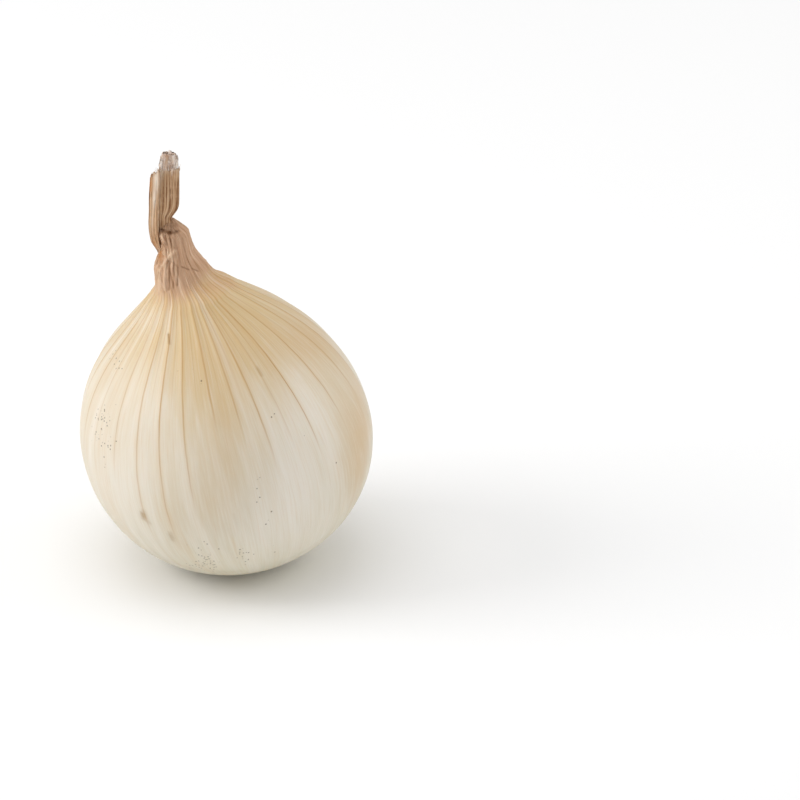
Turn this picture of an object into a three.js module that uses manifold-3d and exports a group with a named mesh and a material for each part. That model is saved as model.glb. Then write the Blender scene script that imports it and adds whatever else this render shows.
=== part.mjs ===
// A dry white onion, standing on its base and leaning a little to one side.
// Millimetres, +Z up. The origin is on the small flat spot that the bulb rests on, under its middle.
// The front is -Y, and the neck leans to -X.

import * as THREE from "three";
import { mergeVertices } from "three/addons/utils/BufferGeometryUtils.js";
import Module from "manifold-3d";

const wasm = await Module();
wasm.setup();

// Driving dimensions of the bulb, millimetres and degrees
const BULB_RADIUS = 39.6;
const BULB_MIDDLE_HEIGHT = 38.5;
const LEAN = 11.2;
const FLARE_HEIGHT = 21.6;
const FLARE_ANGLE = 12.3;
const FLARE_HOLLOW = 3;
const FLARE_HOLLOW_AT = 50;
const HIP_SWELL = 0.7;
const SIDE_SWELL = 0.8;
const SWELL_PEAK = 1.5 * Math.sqrt(3);
const NECK_STARTS_AT = 15;
const BULB_RINGS = 34;
const RING_EASING = 0.62;
const HALVINGS = 40;
const GAP = 0.3;

// The ribs are the raised veins of the skin, given by their angle round the bulb: 0 is +X, -90 is the front.
const FRONT_VEINS = [
  -153, -138.5, -125.8, -114.5, -102.4, -87.4, -76.1, -66.3, -56.3, -45.6, -27.7, -8.9,
];
const BACK_VEIN_COUNT = 17;
const COLUMNS_PER_VEIN = 3;
const RIB_HEIGHT = 0.55;
const RIB_FADE_ANGLE = 38;

// The veins turn a little round the bulb as they near the neck, most of all on the right.
const TWIST = { all: 3.5, side: 8.5, sideAt: 10, fade: 7 };

// The dish at the root end, which the root plate sits in
const ROOT_SHIFT = 2.5;
const ROOT_SHIFT_FROM = 14;
const ROOT_SHIFT_TO = 34;
const DISH_DEPTH = 2.3;
const DISH_EDGE = 11.2;
const DISH_EDGE_WIDTH = 2.2;

// The neck, from its foot on the bulb to the fold where the leaves break off.
// Its heights and those of the leaves are above the bulb's middle.
const NECK_STATIONS = [
  { x: -8.7, up: 44, wide: 11.4, deep: 11.2, tilt: 11.2 },
  { x: -11.75, up: 47.4, wide: 7.4, deep: 5.8, tilt: 10 },
  { x: -12.55, up: 51.4, wide: 7.1, deep: 5.8, tilt: 7 },
  { x: -12.8, up: 55.3, wide: 4.85, deep: 5.2, tilt: 5 },
  { x: -13.45, up: 59.1, wide: 4.3, deep: 4.1, tilt: 3 },
  { x: -14.15, up: 61.7, wide: 4.2, deep: 3.7, tilt: 2 },
  { x: -15.15, up: 63.6, wide: 2.9, deep: 3, tilt: 5 },
];
const NECK_CROWN = 2;
const NECK_RINGS = 15;
const NECK_FOOT_RISE = 4.8;
const NECK_BLEND = 0.42;
const RIB_SWELL = 0.03;
const FOLD = { depth: 0.05, count: 11, turn: 2.4, secondCount: 5, secondTurn: 3, deepestAt: 70 };

// The dead leaves above the neck
const LEAF_THICKNESS = 0.8;
const LEAF_CLEARANCE = 0.7;
const BLADE = { left: -18.1, right: -12.45, depth: 1.25, from: 64, to: 80.8, torn: 1.6 };
const BLADE_FOLD = { sharpness: 1.35, from: 0.3, to: 0.7, ribs: 9, ribHeight: 0.11, bulge: 0.25 };
const BLADE_WAIST = { up: 66.2, depth: 2.1, reach: 2.6 };
const STRIP = { x: -19.6, slant: 1.4, curl: 0.3, front: -2.3, back: 1.1, from: 55.6, to: 80.4, torn: 1.4 };
const STRIP_BEND = { inset: 1, to: 65 };
const TIP = { left: -17.8, inset: 0.75, spread: 0.7, to: 87.4, torn: 1 };
const TIP_END = { crown: 1.8, narrow: 0.8, from: 0.85, ripple: 0.12, ripples: 12 };

// The root plate and the stubs of its dried roots
const PLATE_EDGE = 10.4;
const PLATE_SIDES = 28;
const PLATE_SUNK = 0.9;
const PLATE_GAP = 0.35;
const ROOT_COUNT = 58;
const ROOT_SPREAD = 0.93;
const ROOT_RADIUS = 0.62;
const ROOT_TAPER = 0.8;
const ROOT_SIDES = 5;
const ROOT_BURIED = 0.45;
const ROOT_PROUD = 0.5;
const ROOT_SPLAY = 1.2;
const ROOT_SWAY = 0.16;
const ROOT_CLEARANCE = 0.25;

const COLOURS = {
  skin: 0xe4d9bd,
  dryNeck: 0xb5906c,
  dryLeaf: 0xb29371,
  dryStrip: 0xbd9165,
  paleLeaf: 0xcdb8a8,
  root: 0x7a5539,
};

const rad = THREE.MathUtils.degToRad;
const smoothstep = THREE.MathUtils.smoothstep;
const lerp = THREE.MathUtils.lerp;

// A repeatable stream of numbers from 0 to 1.
function seededRandom(seed) {
  let state = seed;
  return () => {
    state = (state + 0x6d2b79f5) | 0;
    let mixed = Math.imul(state ^ (state >>> 15), 1 | state);
    mixed = (mixed + Math.imul(mixed ^ (mixed >>> 7), 61 | mixed)) ^ mixed;
    return ((mixed ^ (mixed >>> 14)) >>> 0) / 4294967296;
  };
}

// All the veins in order round the bulb: those of the front, then those of the back, evenly spread.
function veinAngles() {
  const last = FRONT_VEINS[FRONT_VEINS.length - 1];
  const step = (FRONT_VEINS[0] + 360 - last) / (BACK_VEIN_COUNT + 1);
  const back = Array.from({ length: BACK_VEIN_COUNT }, (_, i) => last + step * (i + 1));
  return [...FRONT_VEINS, ...back];
}

// The columns of the skin: each has its angle round the axis and its height on the rib, from 0 to 1.
function skinColumns() {
  const veins = veinAngles();
  return veins.flatMap((angle, i) => {
    const next = i + 1 < veins.length ? veins[i + 1] : veins[0] + 360;
    return Array.from({ length: COLUMNS_PER_VEIN }, (_, k) => ({
      round: rad(lerp(angle, next, k / COLUMNS_PER_VEIN)),
      rib: k === 0 ? 1 : 0,
    }));
  });
}

// Turns a point given about the bulb's own axis to its place in the leaning onion.
function place(x, y, up) {
  const point = new THREE.Vector3(x, y, up);
  point.applyAxisAngle(new THREE.Vector3(0, 1, 0), -rad(LEAN));
  point.z += BULB_MIDDLE_HEIGHT;
  return point;
}

// The smooth bulb's radius from its middle, without ribs or dish.
function plumpRadius(fromNeck, round) {
  const sine = Math.sin(fromNeck);
  const cosine = Math.cos(fromNeck);
  const hollow = FLARE_HOLLOW * Math.max(0, Math.cos(round - rad(FLARE_HOLLOW_AT))) ** 2;
  const flare = (FLARE_HEIGHT - hollow) * Math.exp(-fromNeck / rad(FLARE_ANGLE));
  const belly = -SWELL_PEAK * cosine * sine ** 2;
  return BULB_RADIUS + flare + belly * (HIP_SWELL + SIDE_SWELL * Math.cos(round));
}

// How deep the dish is at this angle from the root end.
function dishDepth(fromRoot) {
  const edge = rad(DISH_EDGE);
  const width = rad(DISH_EDGE_WIDTH);
  return DISH_DEPTH * (1 - smoothstep(fromRoot, edge, edge + width));
}

// A point at a radius, moved sideways near the root end, where the bulb has grown askew.
function pointAt(radius, fromNeck, round) {
  const fromRoot = Math.PI - fromNeck;
  const shift = ROOT_SHIFT * (1 - smoothstep(fromRoot, rad(ROOT_SHIFT_FROM), rad(ROOT_SHIFT_TO)));
  const across = radius * Math.sin(fromNeck);
  return place(across * Math.cos(round) + shift, across * Math.sin(round), radius * Math.cos(fromNeck));
}

// The angle round the bulb that a column has come to at this angle from the neck end.
function twisted(fromNeck, column) {
  const side = TWIST.side * Math.max(0, Math.cos(column.round - rad(TWIST.sideAt)));
  const near = Math.exp((rad(NECK_STARTS_AT) - fromNeck) / rad(TWIST.fade));
  return column.round - rad((TWIST.all + side) * Math.min(1, near));
}

// A point of the bulb's skin.
function skinPoint(fromNeck, column) {
  const round = twisted(fromNeck, column);
  const rib = RIB_HEIGHT * column.rib * Math.exp(-fromNeck / rad(RIB_FADE_ANGLE));
  const radius = plumpRadius(fromNeck, round) + rib - dishDepth(Math.PI - fromNeck);
  return pointAt(radius, fromNeck, round);
}

// The angle from the neck end where the skin is this high along the axis, found by halving.
function angleAtHeight(height) {
  let low = 0;
  let high = Math.PI / 2;
  for (let i = 0; i < HALVINGS; i += 1) {
    const middle = (low + high) / 2;
    const here = plumpRadius(middle, Math.PI / 2) * Math.cos(middle);
    if (here > height) {
      low = middle;
    } else {
      high = middle;
    }
  }
  return low;
}

// A closed solid through a stack of rings, with a point at each end.
function stackedSolid(rings, firstPoint, lastPoint) {
  const count = rings[0].length;
  const points = [firstPoint, ...rings.flat(), lastPoint];
  const end = points.length - 1;
  const faces = [];
  for (let i = 0; i < count; i += 1) {
    const next = (i + 1) % count;
    faces.push(0, 1 + i, 1 + next);
    for (let ring = 0; ring + 1 < rings.length; ring += 1) {
      const here = 1 + ring * count;
      const above = here + count;
      faces.push(here + i, above + i, above + next);
      faces.push(here + i, above + next, here + next);
    }
    const top = 1 + (rings.length - 1) * count;
    faces.push(top + i, end, top + next);
  }
  return outward(solidFrom(points, faces));
}

function solidFrom(points, faces) {
  const geometry = new THREE.BufferGeometry().setFromPoints(points);
  geometry.setIndex(faces);
  return geometry;
}

// Turns the faces round where they point inwards, which a negative volume shows.
function outward(geometry) {
  const position = geometry.getAttribute("position");
  const index = geometry.getIndex();
  const corner = (k) => new THREE.Vector3().fromBufferAttribute(position, index.getX(k));
  let volume = 0;
  for (let k = 0; k < index.count; k += 3) {
    volume += corner(k).dot(corner(k + 1).cross(corner(k + 2)));
  }
  if (volume < 0) {
    for (let k = 0; k < index.count; k += 3) {
      const first = index.getX(k);
      index.setX(k, index.getX(k + 1));
      index.setX(k + 1, first);
    }
  }
  return geometry;
}

function toManifold(geometry) {
  const bare = geometry.clone();
  bare.deleteAttribute("normal");
  bare.deleteAttribute("uv");
  const merged = mergeVertices(bare, 1e-4);
  const vertProperties = new Float32Array(merged.getAttribute("position").array);
  const triVerts = new Uint32Array(merged.getIndex().array);
  return new wasm.Manifold(new wasm.Mesh({ numProp: 3, vertProperties, triVerts }));
}

function fromManifold(solid) {
  const mesh = solid.getMesh();
  const geometry = new THREE.BufferGeometry();
  geometry.setAttribute("position", new THREE.BufferAttribute(new Float32Array(mesh.vertProperties), 3));
  geometry.setIndex(new THREE.BufferAttribute(new Uint32Array(mesh.triVerts), 1));
  return geometry;
}

// A wide block whose top is at this height, to trim what would reach below it.
function blockBelow(height) {
  const side = 4 * BULB_RADIUS;
  const block = new THREE.BoxGeometry(side, side, BULB_RADIUS);
  block.translate(0, 0, height - BULB_RADIUS / 2);
  return toManifold(block);
}

// The bulb: a plump body with ribs, a dish at the root end and a flat spot to rest on.
function bulbGeometry() {
  const columns = skinColumns();
  const first = rad(NECK_STARTS_AT);
  const rings = [];
  for (let i = 0; i < BULB_RINGS; i += 1) {
    const even = i / BULB_RINGS;
    const eased = even - (RING_EASING * Math.sin(2 * Math.PI * even)) / (2 * Math.PI);
    const fromNeck = lerp(first, Math.PI, eased);
    rings.push(columns.map((column) => skinPoint(fromNeck, column)));
  }
  const topRadius = plumpRadius(first, Math.PI / 2);
  const top = place(0, 0, topRadius * Math.cos(first) - GAP);
  const bottom = pointAt(plumpRadius(Math.PI, 0) - DISH_DEPTH, Math.PI, 0);
  const whole = toManifold(stackedSolid(rings, top, bottom));
  return fromManifold(whole.subtract(blockBelow(0)));
}

// How far a fold of the dry neck stands out or in, as a share of the radius.
// The folds are deepest at the left front.
function neckFold(column, share) {
  const facing = 0.5 - 0.5 * Math.cos(column.round - rad(FOLD.deepestAt));
  const wave = Math.sin(FOLD.count * column.round + FOLD.turn * share);
  const second = 0.5 * Math.sin(FOLD.secondCount * column.round - FOLD.secondTurn * share);
  return FOLD.depth * smoothstep(share, 0.05, 0.5) * (0.35 + facing) * (wave + second);
}

// A point of the neck. Its foot follows the flare of the bulb, and higher up the stations lead it.
function neckPoint(share, column, path, section) {
  const rise = NECK_FOOT_RISE * Math.min(1, share / NECK_BLEND);
  const foot = skinPoint(angleAtHeight(path.foot + rise), column);
  const centre = path.curve.getPoint(share);
  const size = section.getPoint(share);
  const tilt = rad(size.z);
  const swell = 1 + neckFold(column, share) + RIB_SWELL * column.rib;
  const round = twisted(rad(NECK_STARTS_AT), column);
  const across = size.x * swell * Math.cos(round);
  const high = new THREE.Vector3(
    centre.x + across * Math.cos(tilt),
    size.y * swell * Math.sin(round),
    BULB_MIDDLE_HEIGHT + centre.z + across * Math.sin(tilt),
  );
  return foot.lerp(high, smoothstep(share, 0, NECK_BLEND));
}

// The neck: the dry, gathered sheaths of the leaves, closed by a low crown that the leaves stand on.
function neckGeometry() {
  const columns = skinColumns();
  const first = rad(NECK_STARTS_AT);
  const path = {
    foot: plumpRadius(first, Math.PI / 2) * Math.cos(first) + GAP,
    curve: new THREE.CatmullRomCurve3(NECK_STATIONS.map((s) => new THREE.Vector3(s.x, 0, s.up))),
  };
  const section = new THREE.CatmullRomCurve3(
    NECK_STATIONS.map((s) => new THREE.Vector3(s.wide, s.deep, s.tilt)),
  );
  const rings = [];
  for (let i = 0; i <= NECK_RINGS; i += 1) {
    const share = i / NECK_RINGS;
    rings.push(columns.map((column) => neckPoint(share, column, path, section)));
  }
  const bottom = place(0, 0, path.foot);
  const last = NECK_STATIONS[NECK_STATIONS.length - 1];
  const top = new THREE.Vector3(last.x, 0, BULB_MIDDLE_HEIGHT + last.up + NECK_CROWN);
  return stackedSolid(rings, bottom, top);
}

// The height where a leaf starts: clear of the neck's crown, which falls away like a cone.
function leafBase(x, y) {
  const last = NECK_STATIONS[NECK_STATIONS.length - 1];
  const outwards = Math.hypot((x - last.x) / last.wide, y / last.deep);
  const rim = last.up + Math.tan(rad(last.tilt)) * (x - last.x);
  return rim + NECK_CROWN * (1 - outwards) + LEAF_CLEARANCE;
}

// A thin leaf: a sheet given by a function of two shares from 0 to 1, with an even thickness.
function leafSolid(sheet, columns, rows) {
  const step = 1e-3;
  const front = [];
  const back = [];
  for (let row = 0; row <= rows; row += 1) {
    for (let column = 0; column <= columns; column += 1) {
      const across = column / columns;
      const along = row / rows;
      const point = sheet(across, along);
      const side = sheet(across + step, along).sub(sheet(across - step, along));
      const upward = sheet(across, along + step).sub(sheet(across, along - step));
      const half = side.cross(upward).setLength(LEAF_THICKNESS / 2);
      front.push(point.clone().add(half));
      back.push(point.clone().sub(half));
    }
  }
  const wide = columns + 1;
  const other = front.length;
  const faces = [];
  const quad = (a, b, c, d) => faces.push(a, b, c, a, c, d);
  for (let row = 0; row < rows; row += 1) {
    for (let column = 0; column < columns; column += 1) {
      const at = row * wide + column;
      quad(at, at + 1, at + 1 + wide, at + wide);
      quad(other + at, other + at + wide, other + at + 1 + wide, other + at + 1);
    }
    const left = row * wide;
    const right = left + columns;
    quad(left, left + wide, other + left + wide, other + left);
    quad(right, other + right, other + right + wide, right + wide);
  }
  for (let column = 0; column < columns; column += 1) {
    const top = rows * wide + column;
    quad(column, other + column, other + column + 1, column + 1);
    quad(top, top + 1, other + top + 1, other + top);
  }
  return outward(solidFrom([...front, ...back], faces));
}

// How much a torn upper edge drops at this share of the leaf's width.
function tornDrop(across, depth, phase) {
  const coarse = Math.abs(Math.sin(9 * across + phase));
  const fine = Math.abs(Math.sin(23 * across + 2 * phase));
  return depth * (0.65 * coarse + 0.35 * fine);
}

// Where the right edge of the folded leaf is at this height: it draws in above the neck.
function bladeRight(up) {
  const fromWaist = Math.max(0, up - BLADE_WAIST.up) / BLADE_WAIST.reach;
  return BLADE.right - BLADE_WAIST.depth * Math.exp(-(fromWaist ** 2));
}

// The main leaf: folded flat round its right edge, with a front and a back layer and a waist above the neck.
function bladeSheet(across, along) {
  const reach = Math.min(1, BLADE_FOLD.sharpness * Math.sin(Math.PI * across));
  const layer = lerp(-1, 1, smoothstep(across, BLADE_FOLD.from, BLADE_FOLD.to));
  const ribs = BLADE_FOLD.ribHeight * Math.cos(2 * Math.PI * BLADE_FOLD.ribs * across);
  const base = leafBase(lerp(BLADE.left, bladeRight(BLADE.from), reach), layer * BLADE.depth);
  const up = lerp(base, BLADE.to - tornDrop(across, BLADE.torn, 0.6), along);
  const bulge = BLADE_FOLD.bulge * Math.sin(Math.PI * along);
  const x = lerp(BLADE.left, bladeRight(up), reach);
  return new THREE.Vector3(x, layer * (BLADE.depth + ribs + bulge), BULB_MIDDLE_HEIGHT + up);
}

// The narrow strip that has split from the leaf on the left and runs down the side of the neck.
function stripSheet(across, along) {
  const up = lerp(STRIP.from, STRIP.to - tornDrop(across, STRIP.torn, 2), along);
  const inset = STRIP_BEND.inset * (1 - smoothstep(up, STRIP.from, STRIP_BEND.to));
  const curl = STRIP.curl * Math.sin(Math.PI * across);
  const x = STRIP.x + inset - curl + STRIP.slant * (0.5 - across);
  return new THREE.Vector3(x, lerp(STRIP.front, STRIP.back, across), BULB_MIDDLE_HEIGHT + up);
}

// The pale inner leaf, which stands out of the folded one and ends in a ragged tip.
function tipSheet(across, along) {
  const crown = TIP_END.crown * (2 * across - 1) ** 4;
  const base = leafBase(lerp(TIP.left, bladeRight(BLADE.from) - TIP.inset, across), 0);
  const up = lerp(base, TIP.to - crown - tornDrop(across, TIP.torn, 1.2), along);
  const spread = TIP.spread * smoothstep(up, BLADE.to, BLADE.to + 2);
  const narrow = TIP_END.narrow * smoothstep(along, TIP_END.from, 1);
  const x = lerp(TIP.left + narrow, bladeRight(up) - TIP.inset + spread - narrow, across);
  const ripple = TIP_END.ripple * Math.sin(TIP_END.ripples * across);
  return new THREE.Vector3(x, ripple, BULB_MIDDLE_HEIGHT + up);
}

// The plate at the root end: its inner face follows the dish with a gap, its outer face is a low dome.
function plateSolid() {
  const edge = rad(PLATE_EDGE);
  const ring = (share, radiusAt) =>
    Array.from({ length: PLATE_SIDES }, (_, i) => {
      const round = (2 * Math.PI * i) / PLATE_SIDES;
      const fromNeck = Math.PI - edge * share;
      return pointAt(radiusAt(fromNeck, round), fromNeck, round);
    });
  const inner = (fromNeck, round) => plumpRadius(fromNeck, round) - DISH_DEPTH + PLATE_GAP;
  const outer = (fromNeck, round) => plumpRadius(fromNeck, round) - PLATE_SUNK;
  const rings = [ring(0.5, inner), ring(1, inner), ring(1, outer), ring(0.5, outer)];
  const first = pointAt(inner(Math.PI, 0), Math.PI, 0);
  const last = pointAt(outer(Math.PI, 0), Math.PI, 0);
  return toManifold(stackedSolid(rings, first, last));
}

// One stub of a dried root, from inside the plate to just above the skin.
function rootStub(fromRoot, round, random) {
  const fromNeck = Math.PI - fromRoot;
  const skin = plumpRadius(fromNeck, round);
  const foot = pointAt(skin - PLATE_SUNK - ROOT_BURIED, fromNeck, round);
  const splay = fromRoot + rad(ROOT_SPLAY) * (random() - 0.3);
  const sway = ROOT_SWAY * (random() - 0.5);
  const tip = pointAt(skin + ROOT_PROUD * random(), Math.PI - splay, round + sway);
  const length = foot.distanceTo(tip);
  const thick = ROOT_RADIUS * lerp(0.8, 1.2, random());
  const stub = new THREE.CylinderGeometry(thick * ROOT_TAPER, thick, length, ROOT_SIDES);
  stub.rotateY(2 * Math.PI * random());
  const direction = tip.clone().sub(foot).normalize();
  const turn = new THREE.Quaternion().setFromUnitVectors(new THREE.Vector3(0, 1, 0), direction);
  stub.applyQuaternion(turn);
  const middle = foot.add(tip).multiplyScalar(0.5);
  stub.translate(middle.x, middle.y, middle.z);
  return toManifold(stub);
}

// The root plate with its stubs, set in a spiral, and trimmed clear of the surface that the onion stands on.
function rootPlateGeometry() {
  const random = seededRandom(7);
  const golden = Math.PI * (3 - Math.sqrt(5));
  const widest = rad(PLATE_EDGE) * ROOT_SPREAD;
  let solid = plateSolid();
  for (let i = 0; i < ROOT_COUNT; i += 1) {
    const fromRoot = widest * Math.sqrt((i + 0.5) / ROOT_COUNT);
    solid = solid.add(rootStub(fromRoot, i * golden, random));
  }
  return fromManifold(solid.subtract(blockBelow(ROOT_CLEARANCE)));
}

function piece(name, geometry, colour, roughness) {
  const shape = geometry.getIndex() ? geometry.toNonIndexed() : geometry;
  shape.computeVertexNormals();
  const material = new THREE.MeshStandardMaterial({ color: colour, roughness, metalness: 0 });
  const mesh = new THREE.Mesh(shape, material);
  mesh.name = name;
  return mesh;
}

const onion = new THREE.Group();
onion.name = "onion";
onion.add(piece("bulb", bulbGeometry(), COLOURS.skin, 0.45));
onion.add(piece("root_plate", rootPlateGeometry(), COLOURS.root, 0.9));

const driedTop = new THREE.Group();
driedTop.name = "dried_top";
driedTop.add(piece("neck", neckGeometry(), COLOURS.dryNeck, 0.8));
driedTop.add(piece("leaf_blade", leafSolid(bladeSheet, 40, 6), COLOURS.dryLeaf, 0.8));
driedTop.add(piece("leaf_strip", leafSolid(stripSheet, 5, 12), COLOURS.dryStrip, 0.8));
driedTop.add(piece("leaf_tip", leafSolid(tipSheet, 14, 7), COLOURS.paleLeaf, 0.85));
onion.add(driedTop);

export default onion;
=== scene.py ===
"""A dry white onion that stands on its base and leans a little, with its skin, dead leaves and roots."""

import math

import bpy
import numpy as np
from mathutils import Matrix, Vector, noise


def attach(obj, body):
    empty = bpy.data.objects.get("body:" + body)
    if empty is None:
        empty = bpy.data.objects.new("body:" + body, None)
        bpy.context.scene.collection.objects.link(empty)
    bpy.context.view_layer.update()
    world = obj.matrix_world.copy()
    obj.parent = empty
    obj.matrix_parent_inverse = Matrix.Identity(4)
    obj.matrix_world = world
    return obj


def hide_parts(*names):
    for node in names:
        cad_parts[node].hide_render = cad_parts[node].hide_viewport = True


bl_info = {
    "name": "Dry white onion",
    "version": (1, 0, 0),
    "blender": (4, 5, 0),
    "location": "View3D > Sidebar > Onion",
    "description": "Builds a dry white onion with its skin, neck, dead leaves and root plate",
    "category": "Object",
}

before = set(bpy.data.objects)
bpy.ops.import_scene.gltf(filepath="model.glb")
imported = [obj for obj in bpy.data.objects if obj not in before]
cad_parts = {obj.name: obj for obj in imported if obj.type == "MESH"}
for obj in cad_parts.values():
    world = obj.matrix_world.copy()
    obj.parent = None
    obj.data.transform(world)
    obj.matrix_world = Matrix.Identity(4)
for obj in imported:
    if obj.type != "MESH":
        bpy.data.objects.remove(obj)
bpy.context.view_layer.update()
MM = 0.001

# The bulb, in millimetres and degrees
BULB_RADIUS = 39.5
MIDDLE_HEIGHT = 38.5
LEAN = 11.2
FLARE_HEIGHT = 21.6
FLARE_ANGLE = 12.3
FLARE_HOLLOW = 3
FLARE_HOLLOW_AT = 50
HIP_SWELL = 0.7
SIDE_SWELL = 0.8
SWELL_PEAK = 1.5 * math.sqrt(3)
NECK_STARTS_AT = 15
RIB_HEIGHT = 0.55
RIB_FADE_ANGLE = 38
ROOT_SHIFT = 2.5
ROOT_SHIFT_SPAN = (14, 34)
DISH_DEPTH = 2.3
DISH_SPAN = (11.2, 13.4)
# How often an interval is halved to find an angle on the skin
HALVINGS = 40

# The veins of the skin: angle round the bulb (0 is +X, -90 the front), strength, and the angle from the neck
# end at which each one fades out
FRONT_VEINS = [
    (-153, 0.35, 84), (-138.5, 0.55, 85), (-125.8, 0.8, 108), (-114.5, 1.0, 110), (-102.4, 0.85, 95),
    (-87.4, 0.75, 64), (-76.1, 0.6, 70), (-66.3, 0.8, 84), (-56.3, 0.4, 82), (-45.6, 1.0, 88),
    (-27.7, 0.8, 85), (-8.9, 0.75, 84),
]
BACK_VEIN_COUNT = 17
# The veins turn a little round the bulb as they near the neck, most of all on the right
TWIST = {"all": 3.5, "side": 8.5, "side_at": 10, "fade": 7}
# How many degrees before and after its fading angle a vein fades, and how much all of them do lower down
VEIN_FADE = {"before": 18, "after": 4, "lower": 0.45, "from": 40, "to": 90}
COLUMNS_PER_VEIN = 10
BULB_ROWS = 190
NECK_ROWS = 104
CROWN_ROWS = 10

# The neck's centre line and section, from its foot to the fold: x, height over the bulb's middle, half width,
# half depth and tilt
NECK_STATIONS = np.array([
    (-8.3, 44, 11, 11.1, 11.2),
    (-11.6, 47.4, 7.2, 5.8, 10),
    (-12.3, 51.4, 6.85, 5.8, 7),
    (-12.8, 55.3, 4.85, 5.2, 5),
    (-13.45, 59.1, 4.3, 4.1, 3),
    (-14.15, 61.7, 4.2, 3.7, 2),
    (-15.15, 63.6, 2.9, 3, 5),
])
NECK_CROWN = 2
NECK_FOOT_RISE = 4.8
NECK_BLEND = 0.42
RIB_SWELL = 0.03
CROWN_ROUND = 0.45
# Folds down the neck: depth as a share of the radius, how many there are and how far they turn on their way
# up, the same for broader ones between them, and the angle round the neck where they are faintest
FOLD = {"depth": 0.035, "count": 11, "turn": 2.4, "second_count": 5, "second_turn": 3, "faintest_at": 70}
# Ridges of the neck's tissue: how fine they are round it, and their length in millimetres
RIDGES = [(14, 11), (5, 7)]
# How dark the painted shade in the furrows between the finest ridges is, with a painted highlight on the
# ridges, and how far down and up that may change the tone
RIDGE_SHADING = 0.35
RIDGE_SHADING_SPAN = (-0.3, 0.5)
# Crumpled tissue: its depth all over the neck, the width of a crumple, and the patch in view with the most
CRUMPLE_EVERYWHERE = 0.12
CRUMPLE_SIZE = 2.6
CRUMPLED = (-17.5, 49, 3.2, 5.5, 1)
# How far up the neck its relief is full, and how strong it is below the neck, down to this angle on the bulb
RELIEF = {"full_at": 0.35, "below": 0.3, "below_to": 27}
# Over which share of the neck it turns dry, how much higher it does on the right, and between which places
DRY_SPAN = (0.02, 0.34)
DRY_HIGHER = 0.1
DRY_HIGHER_FROM = (-13, -4)

# The dead leaves above the neck, in millimetres: across, and heights over the bulb's middle
BLADE = {"left": -18.1, "right": -12.45, "depth": 1.25, "from": 64, "to": 82.4, "torn": 1.3, "ribs": 9}
# How steeply the blade's layers reach their full width, where across it the front one turns into the back
# one, the height of its ribs and how much it bulges
BLADE_FOLD = {"steep": 1.35, "from": 0.3, "to": 0.7, "rib": 0.11, "bulge": 0.25}
BLADE_STEP = {"drop": 1.9, "from": 0.3, "to": 0.45}
BLADE_WAIST = {"up": 66.2, "depth": 2.1, "reach": 2.6}
STRIP = {
    "x": -19.2, "slant": 2.5, "curl": 0.3, "front": -2.3, "back": 1.1, "from": 53, "to": 80.6, "torn": 1.2,
}
STRIP_BEND = {
    "inset": 1, "to": 65, "tuck": 1.5, "tuck_to": 58, "rise": 3.4, "back": 1.3, "back_to": 63,
    "over": 0.6, "over_at": 70,
}
STRIP_WAVE = {"side": 0.12, "side_turns": 9, "side_at": 2, "deep": 0.15, "deep_turns": 13}
TIP = {"left": -17.3, "inset": 0.75, "spread": 0.6, "to": 86.9, "torn": 0.9, "forward": 0.7}
TIP_END = {"crown": 1.8, "narrow": 0.4, "from": 0.85, "ripple": 0.12, "ripples": 12}
TIP_THICKNESS = 1.6
LEAF_THICKNESS = 0.5
LEAF_OUTWARD = 0.15
LEAF_ROOTED = 0.9
# The fine ridges of each leaf: height, number and seed
LEAF_FIBRES = {"blade": (0.13, 56, 3), "strip": (0.12, 20, 11), "tip": (0.2, 30, 21)}
# The loose fibres: their scale from least to most, and how far they bend as a share of their length
FIBRE_SCALE = (0.4, 1.3)
FIBRE_BEND = 0.25
# A torn edge: how fast its broad and finer steps follow each other across the leaf, and its number of teeth
TEAR = {"broad": 9, "fine": 23, "teeth": 60}
# How far apart the places are that give a sheet's slope
SHEET_STEP = 1e-3

# The root plate: its edge in degrees from the root end, how far it is sunk, how far it stands off the dish's
# floor, its lumps and its tone between dark (below 0, painted shade between the roots) and pale
PLATE = {
    "edge": 10.4, "sunk": 0.9, "foot": 0.35, "rings": 26, "sides": 96, "lumps": 0.16, "lump_size": 1.1,
    "tone": -0.22,
}
# The cut tubes of the roots: the share of the plate that they cover, how deep they are rooted, how much they
# splay, how many degrees they lean at random, how askew they stand and lean round the plate in radians, their
# least and most scale, and how far off the floor they stay
ROOTS = {
    "spread": 0.95, "rooted": 0.35, "splay": 1.2, "lean": 2.2, "askew": 0.08, "turned": 0.12,
    "scale": (0.5, 1.1), "clearance": 0.25,
}
GOLDEN_ANGLE = math.pi * (3 - math.sqrt(5))

# How the rows of the skin are spread, and how much of its map the neck takes up
ROW_EASING = 0.62
NECK_UV_LENGTH = 0.16
CROWN_UV_SHARE = 0.12
TURN = 2 * math.pi / (len(FRONT_VEINS) + BACK_VEIN_COUNT)
# The grains of the skin: how fine they are across and along it, and their detail. The fibres are 0.4 mm
# apart, the streaks of the fan 1.5 mm, the bands are about 8 mm wide, and the last ones streak the neck
SKIN_GRAIN = {"fibres": (91, 12, 5), "fan": (26, 2.5, 3), "bands": (5, 2.2, 3), "streaks": (13, 20, 4)}
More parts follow.
